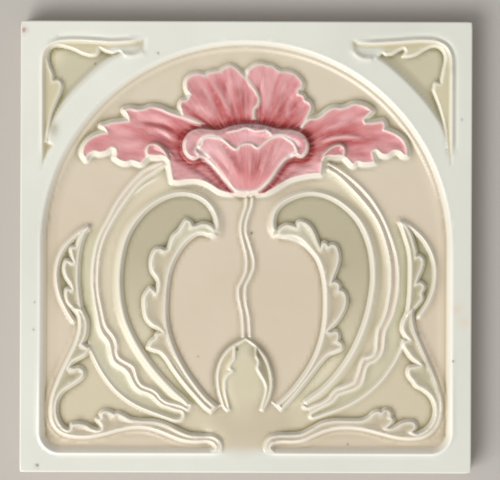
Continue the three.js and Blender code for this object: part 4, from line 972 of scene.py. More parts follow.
foot_of_bud = [[-19, -53.8], [-11.5, -55.4], [-6, -55], [6, -55], [12, -54.6], [19.6, -53]]
bottom = zone(
    tips[0][::-1], foot_of_bud, tips[1],
    drawn(SCROLL_LIP_RIGHT), drawn(SCROLL_LIP_LEFT)[::-1], soft=0.8,
)
paint(bottom, (210, 198, 171))
print("bottom ground covers", int(bottom.sum() * pitch ** 2), "square mm")

# %% The leaves, the scrolls and the corners
for crest_line, lip_line, vein in BIG_LEAVES:
    blade_cover = zone(drawn(crest_line), drawn(lip_line))
    paint(blade_cover, (206, 196, 169))
    # Lighter towards the blade's low end: painted light where the crest's shadow falls into it.
    paint(blade_cover * rise(-20, -42, Y), (222, 212, 186))
    paint(blade_cover * rise(-35, 0, Y), (189, 180, 153))
    band_cover = zone(closed_band(lip_line, vein))
    paint(band_cover, (202, 190, 165))
    paint(0.6 * band_cover * rise(-3, 3, Y), (224, 221, 197))
for (crest_line, lip_line, back_line), scroll in zip(SIDE_LEAVES, SCROLLS):
    paint(zone(drawn(crest_line), drawn(lip_line)[::-1]), (192, 183, 154))
    paint(zone(closed_band(lip_line, back_line)), (190, 180, 152))
    scroll_cover = zone(closed_band(*scroll))
    paint(scroll_cover, (205, 192, 168))
    paint(0.8 * scroll_cover * rise(-58, -50, Y), (194, 186, 158))
for corner_floor, (sunk, _) in zip(corner_floors, corner_leaves):
    sunk_cover = rise(-0.5, 0.5, sunk)
    paint(sunk_cover, (212, 202, 170))
    paint(sunk_cover * rise(68.0, 66.4, Y) * rise(48, 44, np.abs(X)), CELADON)
    paint(rise(-0.5, 1.2, corner_floor), (204, 196, 168))
bud_cover = rise(-0.5, 0.5, bud)
paint(bud_cover, (210, 198, 171))
paint(bud_cover * rise(-60, -42, Y), (214, 205, 177))
for sepal in sepals:
    paint(rise(-0.4, 0.4, sepal), (213, 202, 170))
print("olive of a blade in linear light:", np.round(linear(189, 180, 153), 3))

# %% The frame's celadon
on_frame = rise(1.2, -0.6, panel) * (1 - in_ramp) + rise(2.8, -1.2, Y + PANEL_HALF) * in_ramp
in_corners = np.maximum.reduce([
    rise(-0.5, 0.5, sunk) * np.maximum(rise(-0.5, far, to_band), rise(-0.4, 0.6, to_band) * rise(52, 44, Y))
    for (sunk, to_band), far in zip(corner_leaves, (3.0, 1.4))
])
on_frame = on_frame * (1 - in_corners)
paint(on_frame, CELADON)
paint(on_frame * rise(10, 60, Y) * rise(60, -10, X), (232, 232, 221))
# The frame's edge painted near white: thin glaze, and painted highlight.
paint(frame_edge_thin_glaze_and_highlight, (253, 253, 246))
print("celadon in linear light:", np.round(linear(*CELADON), 3))

# %% Lines of the brush on the petals
LIGHT_ROSE = (242, 188, 188)
DEEP_ROSE = (168, 60, 60)


def streaks(lines, strength):
    """Paints the folds of a petal: paler along the raised ones, deeper along the sunk ones."""
    for points, height, width in lines:
        away, share = line_field(drawn(points), 5.0)
        faded = fade_ends(share, 0.3, 0.35)
        cover = bell(away, 1.3 * width) * faded * strength * min(1, abs(height) * 3)
        paint(cover * petal_cover, LIGHT_ROSE if height > 0 else DEEP_ROSE)


BRUSHED = [
    ([(-22, 36.5), (-27, 39.2), (-33, 40.3), (-40, 39.2)], -1, 0.7),
    ([(-22.5, 33.5), (-28, 36.6), (-34, 37.6), (-42, 36.4)], -1, 0.7),
    ([(-24, 35.3), (-29, 38.2), (-36, 39)], 1, 0.4),
    ([(-27, 41.8), (-34, 43.2), (-40, 42)], 1, 0.8),
    ([(-45, 33.4), (-38, 34.2), (-33, 35.4)], 1, 0.8),
    ([(23, 34.6), (28, 37.8), (34, 38.6), (42, 37)], -1, 0.7),
    ([(23.5, 32.4), (29, 34.8), (36, 35.6), (44, 34.6)], -1, 0.7),
    ([(23.5, 33.6), (28, 36.4), (34, 37.2), (41, 36.2)], 1, 0.4),
    ([(30, 42.3), (36, 43.4), (41, 43)], 1, 0.8),
    ([(38, 32.6), (44, 33), (50, 33.6)], 1, 0.8),
    ([(-16.3, 57.5), (-12, 48.5), (-10.2, 42)], 1, 0.9),
    ([(-6.8, 58), (-5.9, 51.8), (-6, 45)], 1, 0.7),
    ([(-19, 48.2), (-15.5, 46), (-11.6, 42)], 1, 0.6),
    ([(-13.4, 57), (-9.8, 50), (-7.4, 43.5)], -1, 0.9),
    ([(-4.1, 55), (-1.4, 50), (-1, 43)], -1, 1.3),
    ([(-19, 45.4), (-16, 43.6), (-13, 41)], -1, 0.7),
    ([(7.4, 60), (8.1, 51), (7.2, 42)], 1, 0.8),
    ([(4.2, 59), (5.2, 51.8), (5.2, 46)], 1, 0.6),
    ([(12.4, 54), (11.4, 48), (10, 41.5)], -1, 1.2),
    ([(3.6, 52), (4, 47), (3.6, 42)], -1, 0.7),
    ([(15.6, 53), (14.4, 48), (12.6, 42)], 1, 0.6),
]
FANNED = [
    ([(-13, 34.6), (-8, 29.4), (-3.4, 23)], 1, 0.7), ([(-11, 36), (-6.4, 30.6), (-2.4, 23.8)], 1, 0.4),
    ([(-8.6, 35.6), (-5, 30), (-1.8, 24)], -1, 0.5), ([(-5.6, 33.4), (-3, 28), (-1, 22)], -1, 0.6),
    ([(0.4, 34), (1, 29), (0.8, 23)], 1, 0.4), ([(2, 33), (2.2, 28), (1.6, 21)], -1, 0.7),
    ([(4.4, 33.6), (4, 28), (2.6, 21.4)], -1, 0.5), ([(7.6, 35.6), (6, 29.6), (3.6, 23)], 1, 0.4),
    ([(10, 36.6), (8, 30.4), (5, 24)], -1, 0.5), ([(13, 36), (10.4, 30.6), (6.6, 24.4)], 1, 0.7),
]
print("brushed lines:", len(BRUSHED) + len(FANNED))

# %% The rose of the back and side petals
paint(petal_cover, (223, 153, 154))
paint(petal_cover * rise(-16, -2, cup_field) * 0.5 * rise(26, 33, Y), (190, 100, 100))
skirt = petal_cover * (Y < 31) * rise(29, 26, np.abs(X)) * rise(1.2, -1.2, under_lip)
paint(skirt, (226, 166, 166))
blush = spot(-8, 47.5, 5.5, 1, 1.3) + spot(11, 47, 5, 1, 1.3)
blush = blush + spot(-30, 39.5, 4, 2.2) + spot(31, 38, 4, 2.2)
paint(petal_cover * rise(49, 62, Y) * 0.45, LIGHT_ROSE)
paint(petal_cover * 0.7 * blush, (200, 92, 93))
streaks(BACK_FOLDS + SIDE_FOLDS, 0.75)
streaks(BRUSHED, 0.72)
for petal in (back_right, back_left, side_left, side_right):
    own = rise(-0.2, 0.2, petal) * np.exp(-np.maximum(petal, 0) / 1.5)
    paint(petal_cover * 0.55 * own * (np.abs(petal) < 6) * (cup_field < -2), LIGHT_ROSE)
paint(petal_cover * 0.7 * np.exp(np.minimum(cup_field, 0) / 3.4) * rise(27, 33, Y), (186, 72, 70))
# Painted shade in a deeper rose along the groove under each turned-over lip.
paint(petal_cover * 0.7 * bell(lip_away, 1.0) * rise(31, 27, np.abs(X)), (150, 66, 68))
# The ovals at (22, 25.6) and (-22, 25) are painted light on the skirts below the curls, where the relief
# shades them; the other three are lighter and deeper patches of the rose.
for strength, oval, colour in (
    (0.9, (22, 25.6, 3.8, 1.6), (255, 202, 202)), (0.5, (-42, 37, 3.5, 1.6), (238, 182, 182)),
    (0.5, (42, 35.5, 3.0, 1.6), (196, 108, 108)), (0.5, (10, 54, 3.2, 1, 1.3), (238, 176, 178)),
    (0.5, (-22, 25, 3.2, 1.6), (232, 172, 172)),
):
    paint(petal_cover * strength * spot(*oval), colour)
heart_red = np.clip(1.15 * np.exp(np.minimum(cup_field + 1.8, 0) / 1.2), 0, 1) ** 1.5
heart_red = heart_red * (cup_field < 1) * (1 - 0.2 * rise(30, 26, Y))
paint(petal_cover * heart_red, (150, 26, 24))
print("rose in linear light:", np.round(linear(*LIGHT_ROSE), 3))

# %% The rose of the cup and the front petal
cup_cover = rise(-0.3, 0.5, cup)
paint(cup_cover, (222, 156, 159))
# Greyish mauve over the back of the cup's roll, with crinkles, and at its back corners: painted shade on the
# side of the roll that faces away from the light.
crinkle = 0.85 + 0.15 * np.cos(2.4 * X + np.sin(0.7 * X))
over_rim = rise(0.1, 0.9, Y - 39.4 + 0.03 * (X - 0.3) ** 2)
paint(rise(-0.6, 0.2, cup) * bell(X - 2, 12) * over_rim * crinkle, (136, 98, 108))
paint(cup_cover * 0.5 * rise(36.6, 38.6, Y) * rise(8, 12, np.abs(X)), (176, 134, 140))
paint(cup_cover * bell(X - 1, 4) * rise(32, 34, Y) * rise(39, 37.6, Y), (234, 180, 183))
# Painted light on the left curl's slope that faces away from the light.
paint(cup_cover * 0.7 * spot(-18.6, 34.4, 2.0), (250, 198, 199))
front_cover = rise(-0.3, 0.5, front)
paint(front_cover, (230, 161, 161))
for strength, oval, colour in (
    (0.8, (-12, 32, 5), (246, 198, 202)), (0.6, (13, 32, 4), (242, 188, 190)),
    (0.6, (1.6, 25, 3.2, 1.3, 1.5), (208, 112, 114)), (0.6, (7, 25.4, 2.6), (204, 120, 122)),
):
    paint(front_cover * strength * spot(*oval), colour)
paint(petal_cover * 0.5 * spot(-20.6, 41.2, 1.7) * (cup_field < -1), (232, 158, 158))
streaks(FRONT_FOLDS, 0.5)
streaks(FANNED, 0.55)
edge_away, _ = line_field(drawn(CUP_EDGE))
paint(petal_cover * (cup_field < 0) * 0.9 * bell(edge_away - 1.5, 1.0), (146, 28, 26))
paint(0.9 * bell(edge_away, 0.85), (248, 218, 215))
paint(0.7 * spot(-17.2, 32.3, 1.3), (240, 196, 200))
print("front petal covers", int(front_cover.sum() * pitch ** 2), "square mm")

# %% Fine brushwork, fanned out from the heart
chance = np.random.default_rng(7)
brush = np.zeros(X.shape)
off_heart = rise(6, 20, np.hypot(heart_x, Y - 30))
from_foot = np.hypot(heart_x, Y - 14)
for waves in range(24, 96, 6):
    phase = chance.uniform(0, 6.3, 3)
    sweep = waves * angle + phase[0] + 1.4 * np.sin(from_foot / 6 + phase[1])
    brush += np.cos(sweep) * np.cos(from_foot / 9 + phase[2]) / 4
paint(petal_cover * np.clip(brush, 0, 1) * 0.32 * off_heart, LIGHT_ROSE)
paint(petal_cover * np.clip(-brush, 0, 1) * 0.24 * off_heart, DEEP_ROSE)
print("brushwork, lowest and highest:", round(float(brush.min()), 2), round(float(brush.max()), 2))

# %% Painted shade in pockets, round the bud and beside the middle stem, and a few patches of painted light
SHADED_POCKETS = (
    (-19.2, 7.7, 1.2), (-27.1, 0.6, 1.2), (-29.6, -11.9, 1.1), (-30.8, -28.0, 1.2), (-59.0, -3.5, 1.1),
    (29.6, -1.2, 1.3), (33.0, -6.0, 1.3), (35.2, -18.0, 1.3), (31.4, -29.8, 1.3), (61.4, -2.6, 1.1),
    (58.0, -28.8, 1.0), (60.2, -39.0, 1.2), (62.0, -43.0, 1.2), (-55.4, -58.6, 1.6), (-58.4, -43.8, 1.1),
    (-54.6, -33.4, 1.1), (-46.4, -56.6, 1.1), (46.8, -55.2, 1.2), (53.4, -59.0, 1.6), (56.6, -59.4, 1.2),
)
# Each pocket beside a tooth or a scroll is painted darker olive: painted shade in the recess.
for pocket in SHADED_POCKETS:
    paint(0.45 * spot(*pocket), (146, 138, 110))
# Painted shade inside the right sepal, round the bud's outline towards its foot, and at its tip.
paint(0.7 * rise(-0.2, 0.5, sepals[1]) * rise(-48, -40, Y), (158, 149, 122))
paint(0.7 * (bud < 0) * bell(bud + 1.0, 1.2) * rise(-56, -46, Y), (160, 146, 120))
paint(0.6 * spot(4, -35.5, 2.2), (160, 150, 122))
# Painted shade on both sides of the middle stem, fading out at its top.
stem_away = np.minimum.reduce([line_field(drawn(line))[0] for line in MIDDLE_STEM])
paint(0.45 * bell(stem_away - 1.2, 0.6) * rise(17, 14, Y), (186, 170, 145))
# Painted light on the shaded inner edge of the left corner; the left corner's floor darker at its low end.
# Painted shade on the shaded right side of the right corner's crest.
# Painted shadow under the right side petal, at the top of the stems.
# Pale patches under the corner leaves' tips: partly celadon glaze, partly painted light on that slope.
for strength, oval, colour in (
    (0.8, (-38.3, 66.0, 1.6, 1.5), (240, 240, 230)), (0.8, (36.8, 66.0, 1.6, 1.5), (240, 240, 230)),
    (0.7 * (1 - petal_cover), (28.2, 28.2, 2.4), (158, 150, 126)), (0.8, (-64, 64, 2.8), (226, 216, 188)),
    (0.7, (-64.8, 39.5, 1.7, 1, 1.6), (168, 160, 132)), (0.6, (68.6, 61, 1.5, 1, 2.2), (200, 194, 170)),
):
    paint(strength * spot(*oval), colour)
# Painted light along the panel's bottom wall, which faces away from the light.
paint(0.5 * bell(Y + 66, 2.5) * rise(14, 20, np.abs(X)) * rise(67, 63, np.abs(X)), (232, 216, 193))
print("pockets:", len(SHADED_POCKETS))

# %% Specks and stains
MARKS = (
    (1.9, 4.7, 0.42, (70, 62, 48)), (-3.0, -34.5, 0.45, (84, 70, 50)), (-69.9, -73.6, 0.42, (44, 40, 34)),
    (-71.3, -28.0, 0.35, (150, 148, 138)), (-71.0, -18.7, 0.35, (160, 158, 148)),
    (-51.0, 61.5, 0.35, (120, 112, 92)), (34.5, -66.3, 0.35, (140, 128, 104)),
    (-29.7, 65.0, 0.35, (120, 118, 108)), (69.7, -38.2, 0.4, (110, 104, 92)),
    (-75.0, 72.7, 0.9, (178, 100, 80)), (-12.0, 12.7, 0.4, (250, 246, 232)),
    (-16.0, -37.0, 0.3, (150, 140, 118)), (72.4, 43.0, 0.35, (160, 156, 146)),
)
marks = np.zeros(X.shape)
for x, y, size, colour in MARKS:
    mark = spot(x, y, size)
    paint(0.85 * mark, colour)
    marks = np.maximum(marks, mark)
STAINS = (
    (71.0, -20.7, 1.6, (232, 208, 180)), (73.6, -25.2, 1.8, (230, 205, 178)),
    (-28.6, 29.2, 1.0, (232, 170, 168)), (-11.4, 13.2, 0.9, (236, 230, 204)),
    (-1.0, -66.4, 3.4, (217, 201, 181)),
)
for x, y, size, colour in STAINS:
    paint(0.5 * spot(x, y, size), colour)
print("marks:", len(MARKS), "stains:", len(STAINS))

# %% Thin on the crests, deep in the hollows
thin = np.clip((relief - blur(relief, 0.8)) / 0.28, 0, 1) * (1 - 0.7 * petal_cover)
slope_y, slope_x = np.gradient(relief, pitch)
steep = rise(0.35, 1.0, np.hypot(slope_x, slope_y)) * (1 - 0.9 * petal_cover)
CREST_SHARE, THIN_SHARE, STEEP_SHARE = 0.85, 0.5, 0.55
crest = np.clip(crest_mark, 0, 1) * CREST_SHARE
crest = np.maximum.reduce([crest, thin * THIN_SHARE, steep * STEEP_SHARE])
# Crests are painted less pale at these spots: painted shade where shade falls on them.
SHADED_CRESTS = (
    (28.2, 28.6, 2.4, 0.8), (4, -35.9, 2.6, 0.8), (8, -40, 2, 0.5), (48.4, -56.1, 2, 0.6),
    (-52.4, -60.1, 2, 0.6), (60.5, -40, 2, 0.6), (64.5, -48, 1.6, 0.6), (20.6, 36.2, 1.8, 0.7),
    (-20.4, 37.2, 1.6, 0.7), (68.5, 60, 2, 0.5), (-28.2, -27.9, 2, 0.6), (-52.4, -35.9, 2, 0.5),
    (-64.5, 39.5, 2, 0.7),
)
for x, y, size, less in SHADED_CRESTS:
    crest = crest * (1 - less * spot(x, y, size))
shallow = np.clip((blur(relief, 1.0) - relief - 0.02) / 0.26, 0, 1)
deep = np.clip((blur(relief, 1.8) - relief - 0.12) / 0.45, 0, 1)
by_petals = np.clip(2.5 * blur(petal_cover, 1.2), 0, 1)
pool = np.clip(0.42 * shallow + 0.7 * deep ** 1.5, 0, 1) * (1 - 0.88 * by_petals)
pool = pool * (1 - 0.6 * channels) * (1 - 0.6 * steep) * (1 - 0.6 * rise(-63, -66, Y))
crest = crest * (1 - marks)
light = 0.21 * tint[..., 0] + 0.72 * tint[..., 1] + 0.07 * tint[..., 2]
shade = light * (1 - crest) + crest + 1.5 * marks
print("share of the face that is crest:", round(float(crest.mean()), 3))

# %% [markdown]
# ## One closed mesh
# A height map as a plain grid would need half a million triangles. Most of the tile is flat,
# so the sheet starts as coarse cells. A cell whose relief or colour bends too much is cut in
# four, and the same again. A big cell beside a small one becomes a face with more corners,
# which takes in the small one's edge points, so nothing gapes. Blender's Decimate modifier
# would also thin a full grid, but it leaves slivers that spoil the highlights.

# %% How much a cell bends
def bend(field, cells):
    """For each block of so many fine cells a side, the greatest gap to a flat blend of its corners."""
    corner = field[::cells, ::cells]
    worst = 0
    for i in range(cells + 1):
        for j in range(cells + 1):
            low = corner[:-1, :-1] * (1 - j / cells) + corner[:-1, 1:] * (j / cells)
            high = corner[1:, :-1] * (1 - j / cells) + corner[1:, 1:] * (j / cells)
            blend = low * (1 - i / cells) + high * (i / cells)
            stop_i = i + field.shape[0] - cells
            stop_j = j + field.shape[1] - cells
            worst = np.maximum(worst, np.abs(field[i:stop_i:cells, j:stop_j:cells] - blend))
    return worst


def pairs(mask):
    """True for a block of two by two where any of its four is true."""
    return mask.reshape(mask.shape[0] // 2, 2, mask.shape[1] // 2, 2).any(axis=(1, 3))


def points_used(small_split, big_split):
    """Which points of the sheet the faces need: big corners, then those of the cut blocks."""
    used = np.zeros(X.shape, bool)
    used[::4, ::4] = True
    for split, size, step in ((big_split, 4, 2), (small_split, 2, 1)):
        rows, cols = np.nonzero(split)
        for i in range(0, size + 1, step):
            for j in range(0, size + 1, step):
                used[rows * size + i, cols * size + j] = True
    return used


FACE_BUDGET = 177000
SHADE_SHARE = 0.2
lit = 1 + 1.6 * rise(0.12, 0.4, (slope_x + slope_y) / math.sqrt(2))
small_bend = bend(relief, 2) * lit[1::2, 1::2] + SHADE_SHARE * bend(shade, 2)
big_bend = bend(relief, 4) * lit[2::4, 2::4] + SHADE_SHARE * bend(shade, 4)
low, high = 0.0, 0.5
for _ in range(12):
    allowed = (low + high) / 2
    small_split = small_bend > allowed
    big_split = (big_bend > allowed) | pairs(small_split)
    used = points_used(small_split, big_split)
    fits = 2 * used.sum() < FACE_BUDGET
    low, high = (low, allowed) if fits else (allowed, high)
print("bend left in a cell, mm:", round(allowed, 4), "triangles on the face, about", 2 * int(used.sum()))

# %% Points and faces of the face
number = np.full(used.shape, -1)
number[used] = np.arange(used.sum())
face_points = np.column_stack([X[used], Y[used], FIELD + relief[used]])


def ringed(rows, cols, size):
    """Faces for blocks of one size: all the used points round each block, in order.

    A square is cut in two along its first corner. So the ring starts at the corner whose
    diagonal has the more even slope, and the cut then runs along a crest and not across it.
    """
    around = [(0, k) for k in range(size)] + [(k, size) for k in range(size)]
    around += [(size, size - k) for k in range(size)] + [(size - k, 0) for k in range(size)]
    ring = np.column_stack([number[rows * size + a, cols * size + b] for a, b in around])
    sx, sy = (
        [s[rows * size + a, cols * size + b] for a, b in ((0, 0), (0, size), (size, size), (size, 0))]
        for s in (slope_x, slope_y)
    )
    turned = np.hypot(sx[1] - sx[3], sy[1] - sy[3]) < np.hypot(sx[0] - sx[2], sy[0] - sy[2])
    ring = np.where(turned[:, None], np.roll(ring, -size, axis=1), ring)
    return [[p for p in loop if p >= 0] for loop in ring.tolist()]


tiny = np.repeat(np.repeat(small_split, 2, axis=0), 2, axis=1)
in_big = np.repeat(np.repeat(big_split, 2, axis=0), 2, axis=1)
faces = ringed(*np.nonzero(tiny), 1)
faces += ringed(*np.nonzero(in_big & ~small_split), 2)
faces += ringed(*np.nonzero(~big_split), 4)
print("points on the face:", len(face_points), "faces:", len(faces))

# %% [markdown]
# The sides go down from the face's rim. The arris is a quarter round where the glaze hides
# the clay's edge. The sides are bare clay, a little uneven, as a die leaves them. The back
# has the straight grooves that hold the mortar.

# %% The rim, the sides and the back
last = len(axis) - 1
up, down = np.arange(last), np.arange(last, 0, -1)
rim_rows = np.concatenate([np.zeros(last, int), up, np.full(last, last), down])
rim_cols = np.concatenate([up, np.full(last, last), down, np.zeros(last, int)])
on_rim = used[rim_rows, rim_cols]
rim = number[rim_rows[on_rim], rim_cols[on_rim]]
rim_xy = face_points[rim, :2]
CORNER_PUSH = 0.72
out = np.sign(rim_xy) * (np.abs(rim_xy) > flat_half - 1e-6)
out[np.all(out != 0, axis=1)] *= CORNER_PUSH


def side_loop(push, height):
    """A loop of points round the tile: the rim moved outwards by a push, at one height.

    Below the arris it is up to 0.06 mm uneven, in slow waves along the side.
    """
    along = np.where(out[:, 0] != 0, rim_xy[:, 1], rim_xy[:, 0])
    wave = 0.06 * (1 + np.sin(along / 9 + height) * np.cos(along / 23 + 2 * height)) / 2
    wave = wave * (height < FRAME_TOP - ARRIS + 0.01)
    xy = rim_xy + out * (push - wave)[:, None]
    return np.column_stack([xy, np.full(len(xy), height)])


quarter = np.radians(np.linspace(0, 90, 5)[1:])
loops = [side_loop(ARRIS * np.sin(a), FRAME_TOP - ARRIS * (1 - np.cos(a))) for a in quarter]
loops += [side_loop(ARRIS, height) for height in (7.0, 5.6, 4.2, 2.8, 1.6, ARRIS)]
loops += [side_loop(ARRIS * np.cos(a), ARRIS * (1 - np.sin(a))) for a in quarter]
points = [face_points] + loops
count = len(rim)
ids = [rim] + [len(face_points) + k * count + np.arange(count) for k in range(len(loops))]
for upper, lower in zip(ids, ids[1:]):
    faces += np.column_stack([upper, lower, np.roll(lower, -1), np.roll(upper, -1)]).tolist()
print("points round the rim:", count, "loops:", len(loops))

# %% The back and its mortar grooves
GROOVES = 8
GROOVE_PITCH = 16.375
GROOVE_HALF = 3.5
GROOVE_DEEP = 1.2
GROOVE_REACH = 58.5
GROOVE_SLOPE = 0.6
back_half = flat_half - 1.2
groove_y = (np.arange(GROOVES) - (GROOVES - 1) / 2) * GROOVE_PITCH
offsets = np.array([-3.5, -2.9, -2.2, -1.1, 0, 1.1, 2.2, 2.9, 3.5])
lines_y = np.concatenate([[-back_half], (groove_y[:, None] + offsets).ravel(), [back_half]])
ends_x = GROOVE_REACH + np.array([0, 1.1, 2.0, 2.6, 3.1, 3.5])
middle_x = np.linspace(-GROOVE_REACH, GROOVE_REACH, 24)[1:-1]
lines_x = np.concatenate([[-back_half], -ends_x[::-1], middle_x, ends_x, [back_half]])
BX, BY = np.meshgrid(lines_x, lines_y)
to_groove = np.abs(BY[..., None] - groove_y).min(axis=-1)
past_end = np.maximum(np.abs(BX) - GROOVE_REACH, 0)
cut = np.clip((GROOVE_HALF - np.hypot(to_groove, past_end)) / GROOVE_SLOPE, 0, 1) * GROOVE_DEEP
back_number = len(face_points) + count * len(loops) + np.arange(BX.size).reshape(BX.shape)
points.append(np.column_stack([BX.ravel(), BY.ravel(), cut.ravel()]))
faces += np.column_stack([
    back_number[:-1, :-1].ravel(), back_number[1:, :-1].ravel(),
    back_number[1:, 1:].ravel(), back_number[:-1, 1:].ravel(),
]).tolist()
print("grooves in the back:", GROOVES, "each", 2 * GROOVE_HALF, "mm wide and", GROOVE_DEEP, "mm deep")

# %% The strip between the last loop and the back
def run_round(xy, half):
    """How far a point is round a square, from 0 to 4: one unit to a side, from the lower left corner."""
    x, y = xy[:, 0] / (2 * half) + 0.5, xy[:, 1] / (2 * half) + 0.5
    side = np.select([y < 1e-6, x > 1 - 1e-6, y > 1 - 1e-6], [0, 1, 2], 3)
    return side + np.select([side == 0, side == 1, side == 2], [x, y, 1 - x], 1 - y)


edge_ids = np.concatenate([
    back_number[0, :-1], back_number[:-1, -1], back_number[-1, :0:-1], back_number[:0:-1, 0],
])
edge_xy = np.concatenate(points)[edge_ids, :2]
outer_at = np.append(run_round(rim_xy, flat_half), 4.0)
inner_at = np.append(run_round(edge_xy, back_half), 4.0)
outer_ids = np.append(ids[-1], ids[-1][0])
inner_ids = np.append(edge_ids, edge_ids[0])
event = np.concatenate([outer_at[1:], inner_at[1:]])
is_outer = np.concatenate([np.ones(len(outer_at) - 1, bool), np.zeros(len(inner_at) - 1, bool)])
order = np.argsort(event, kind="stable")
is_outer = is_outer[order]
outer_now = np.cumsum(is_outer)
inner_now = np.cumsum(~is_outer)
outer_was = outer_now - is_outer
inner_was = inner_now - ~is_outer
third = np.where(is_outer, outer_ids[outer_now], inner_ids[inner_now])
faces += np.column_stack([outer_ids[outer_was], inner_ids[inner_was], third]).tolist()
all_points = np.concatenate(points)
print("all points:", len(all_points), "all faces:", len(faces))

# %% The tile as one mesh
mesh = bpy.data.meshes.new("glazed_relief_tile")
mesh.from_pydata((all_points * MM).tolist(), [], faces)
mesh.validate()
shell = bmesh.new()
shell.from_mesh(mesh)
bmesh.ops.recalc_face_normals(shell, faces=shell.faces)
open_edges = sum(1 for e in shell.edges if len(e.link_faces) != 2)
shell.to_mesh(mesh)
shell.free()
mesh.calc_loop_triangles()
print("triangles:", len(mesh.loop_triangles), "open edges:", open_edges)

# %% What the glaze needs to know at each point
def point_values(on_face, elsewhere):
    """A value for every point of the mesh: the sheet's on the face, and one value elsewhere."""
    rest = np.full((len(all_points) - len(face_points),) + on_face.shape[2:], elsewhere, float)
    return np.concatenate([on_face[used], rest])


DRIP_HEIGHT = 7.2
tints = np.ones((len(all_points), 4))
tints[:, :3] = point_values(tint, linear(*CELADON))
mesh.color_attributes.new("glaze_tint", "FLOAT_COLOR", "POINT")
mesh.color_attributes["glaze_tint"].data.foreach_set("color", tints.ravel())
drip = DRIP_HEIGHT + 0.5 * np.sin(all_points[:, 0] / 7) * np.cos(all_points[:, 1] / 11)
glazed = rise(-0.4, 0.4, all_points[:, 2] - drip)
glazed[:len(face_points)] = 1
for name, values in (
    ("crest", point_values(crest, 0.0)), ("pool", point_values(pool, 0.0)), ("glazed", glazed),
    ("petal", point_values(petal_cover, 0.0)), ("front_petal", point_values(front_cover, 0.0)),
):
    mesh.attributes.new(name, "FLOAT", "POINT")
    mesh.attributes[name].data.foreach_set("value", values)
mesh.polygons.foreach_set("use_smooth", np.ones(len(mesh.polygons), bool))

upright = np.dstack([-slope_x, -slope_y, np.ones(X.shape)])[used]
upright /= np.linalg.norm(upright, axis=1)[:, None]
normals = np.empty(3 * len(all_points), np.float32)
mesh.vertex_normals.foreach_get("vector", normals)
normals = normals.reshape(-1, 3)
normals[:len(face_points)] = upright
mesh.normals_split_custom_set_from_vertices(normals.tolist())
tile = bpy.data.objects.new("glazed_relief_tile", mesh)
bpy.context.scene.collection.objects.link(tile)
print("attributes:", [a.name for a in mesh.attributes if not a.name.startswith(".")])

# %% [markdown]
# ## The glaze
# A lead glaze is a clear coloured glass a third of a millimetre thick. It is as smooth as
# water, with long slow ripples, so it gives sharp small highlights. One shader holds it all,
# with the colour, the roughness and the ripples worked out by nodes. Where a crest is marked
# the colour goes to a near white, and where a pool is marked it deepens. The sides and the
# back are bare fired clay, dull and a little sandy, below a thin run of glaze.

# %% A small helper for nodes
material = bpy.data.materials.new("glazed_earthenware")
material.use_nodes = True
tree = material.node_tree
shader = tree.nodes["Principled BSDF"]


def node(kind, at, **settings):
    """Adds a node of a kind at a place in the node editor, with these settings."""
    made = tree.nodes.new(kind)
    made.location = at
    for key, value in settings.items():
        setattr(made, key, value)
    return made


def join(source, target):
    """Links an output socket to an input socket."""
    tree.links.new(source, target)


def mix(kind, at, factor, first_value, second_value):
    """Mixes two values by a factor; each may be a socket or a number or a colour."""
    made = node("ShaderNodeMix", at, data_type=kind)
    sockets = (0, 6, 7) if kind == "RGBA" else (0, 2, 3)
    for index, value in zip(sockets, (factor, first_value, second_value)):
        if isinstance(value, bpy.types.NodeSocket):
            join(value, made.inputs[index])
        else:
            made.inputs[index].default_value = value
    return made.outputs[2 if kind == "RGBA" else 0]


def remap(source, at, low, high, new_low, new_high):
    """Maps a value's range to another, held at its ends."""
    made = node("ShaderNodeMapRange", at)
    join(source, made.inputs["Value"])
    for key, value in (("From Min", low), ("From Max", high), ("To Min", new_low), ("To Max", new_high)):
        made.inputs[key].default_value = value
    return made.outputs["Result"]


def attribute(name, at):
    """Reads a value that was stored on the mesh's points."""
    made = node("ShaderNodeAttribute", at, attribute_name=name)
    return made.outputs["Color"] if name == "glaze_tint" else made.outputs["Fac"]


place = node("ShaderNodeTexCoord", (-1600, -300)).outputs["Object"]


def noise(scale, at, detail=3.0, roughness=0.5):
    """Noise on the tile's own coordinates, with a scale in lumps to the metre."""
    made = node("ShaderNodeTexNoise", at)
    join(place, made.inputs["Vector"])
    made.inputs["Scale"].default_value = scale
    made.inputs["Detail"].default_value = detail
    made.inputs["Roughness"].default_value = roughness
    return made.outputs["Fac"]


print("shader ready:", shader.name)

# %% Streaks of the brush in the rose glaze
def work(operation, at, first, second=None):
    """One step of arithmetic on sockets or numbers."""
    made = node("ShaderNodeMath", at, operation=operation)
    for index, value in enumerate(v for v in (first, second) if v is not None):
        if isinstance(value, bpy.types.NodeSocket):
            join(value, made.inputs[index])
        else:
            made.inputs[index].default_value = value
    return made.outputs[0]


STROKES_ROUND = 17.0
STROKE_LENGTH = 90.0
parts = node("ShaderNodeSeparateXYZ", (-2600, 900))
join(place, parts.inputs[0])
petal_out = attribute("petal", (-2600, 600))
heart_y = work("MULTIPLY_ADD", (-2400, 600), attribute("front_petal", (-2600, 450)), -0.012)
heart_y.node.inputs[2].default_value = 0.026
from_heart_x = work("SUBTRACT", (-2400, 1000), parts.outputs[0], 0.001)
from_heart_y = work("SUBTRACT", (-2200, 900), parts.outputs[1], heart_y)
turn = work("ARCTAN2", (-2000, 1100), from_heart_y, from_heart_x)
reach_x = work("MULTIPLY", (-2200, 750), from_heart_x, from_heart_x)
reach_y = work("MULTIPLY", (-2000, 750), from_heart_y, from_heart_y)
reach = work("SQRT", (-1600, 750), work("ADD", (-1800, 750), reach_x, reach_y))
fan = node("ShaderNodeCombineXYZ", (-1400, 1000))
join(work("MULTIPLY", (-1800, 1100), turn, STROKES_ROUND), fan.inputs[0])
join(work("MULTIPLY", (-1400, 750), reach, STROKE_LENGTH), fan.inputs[1])
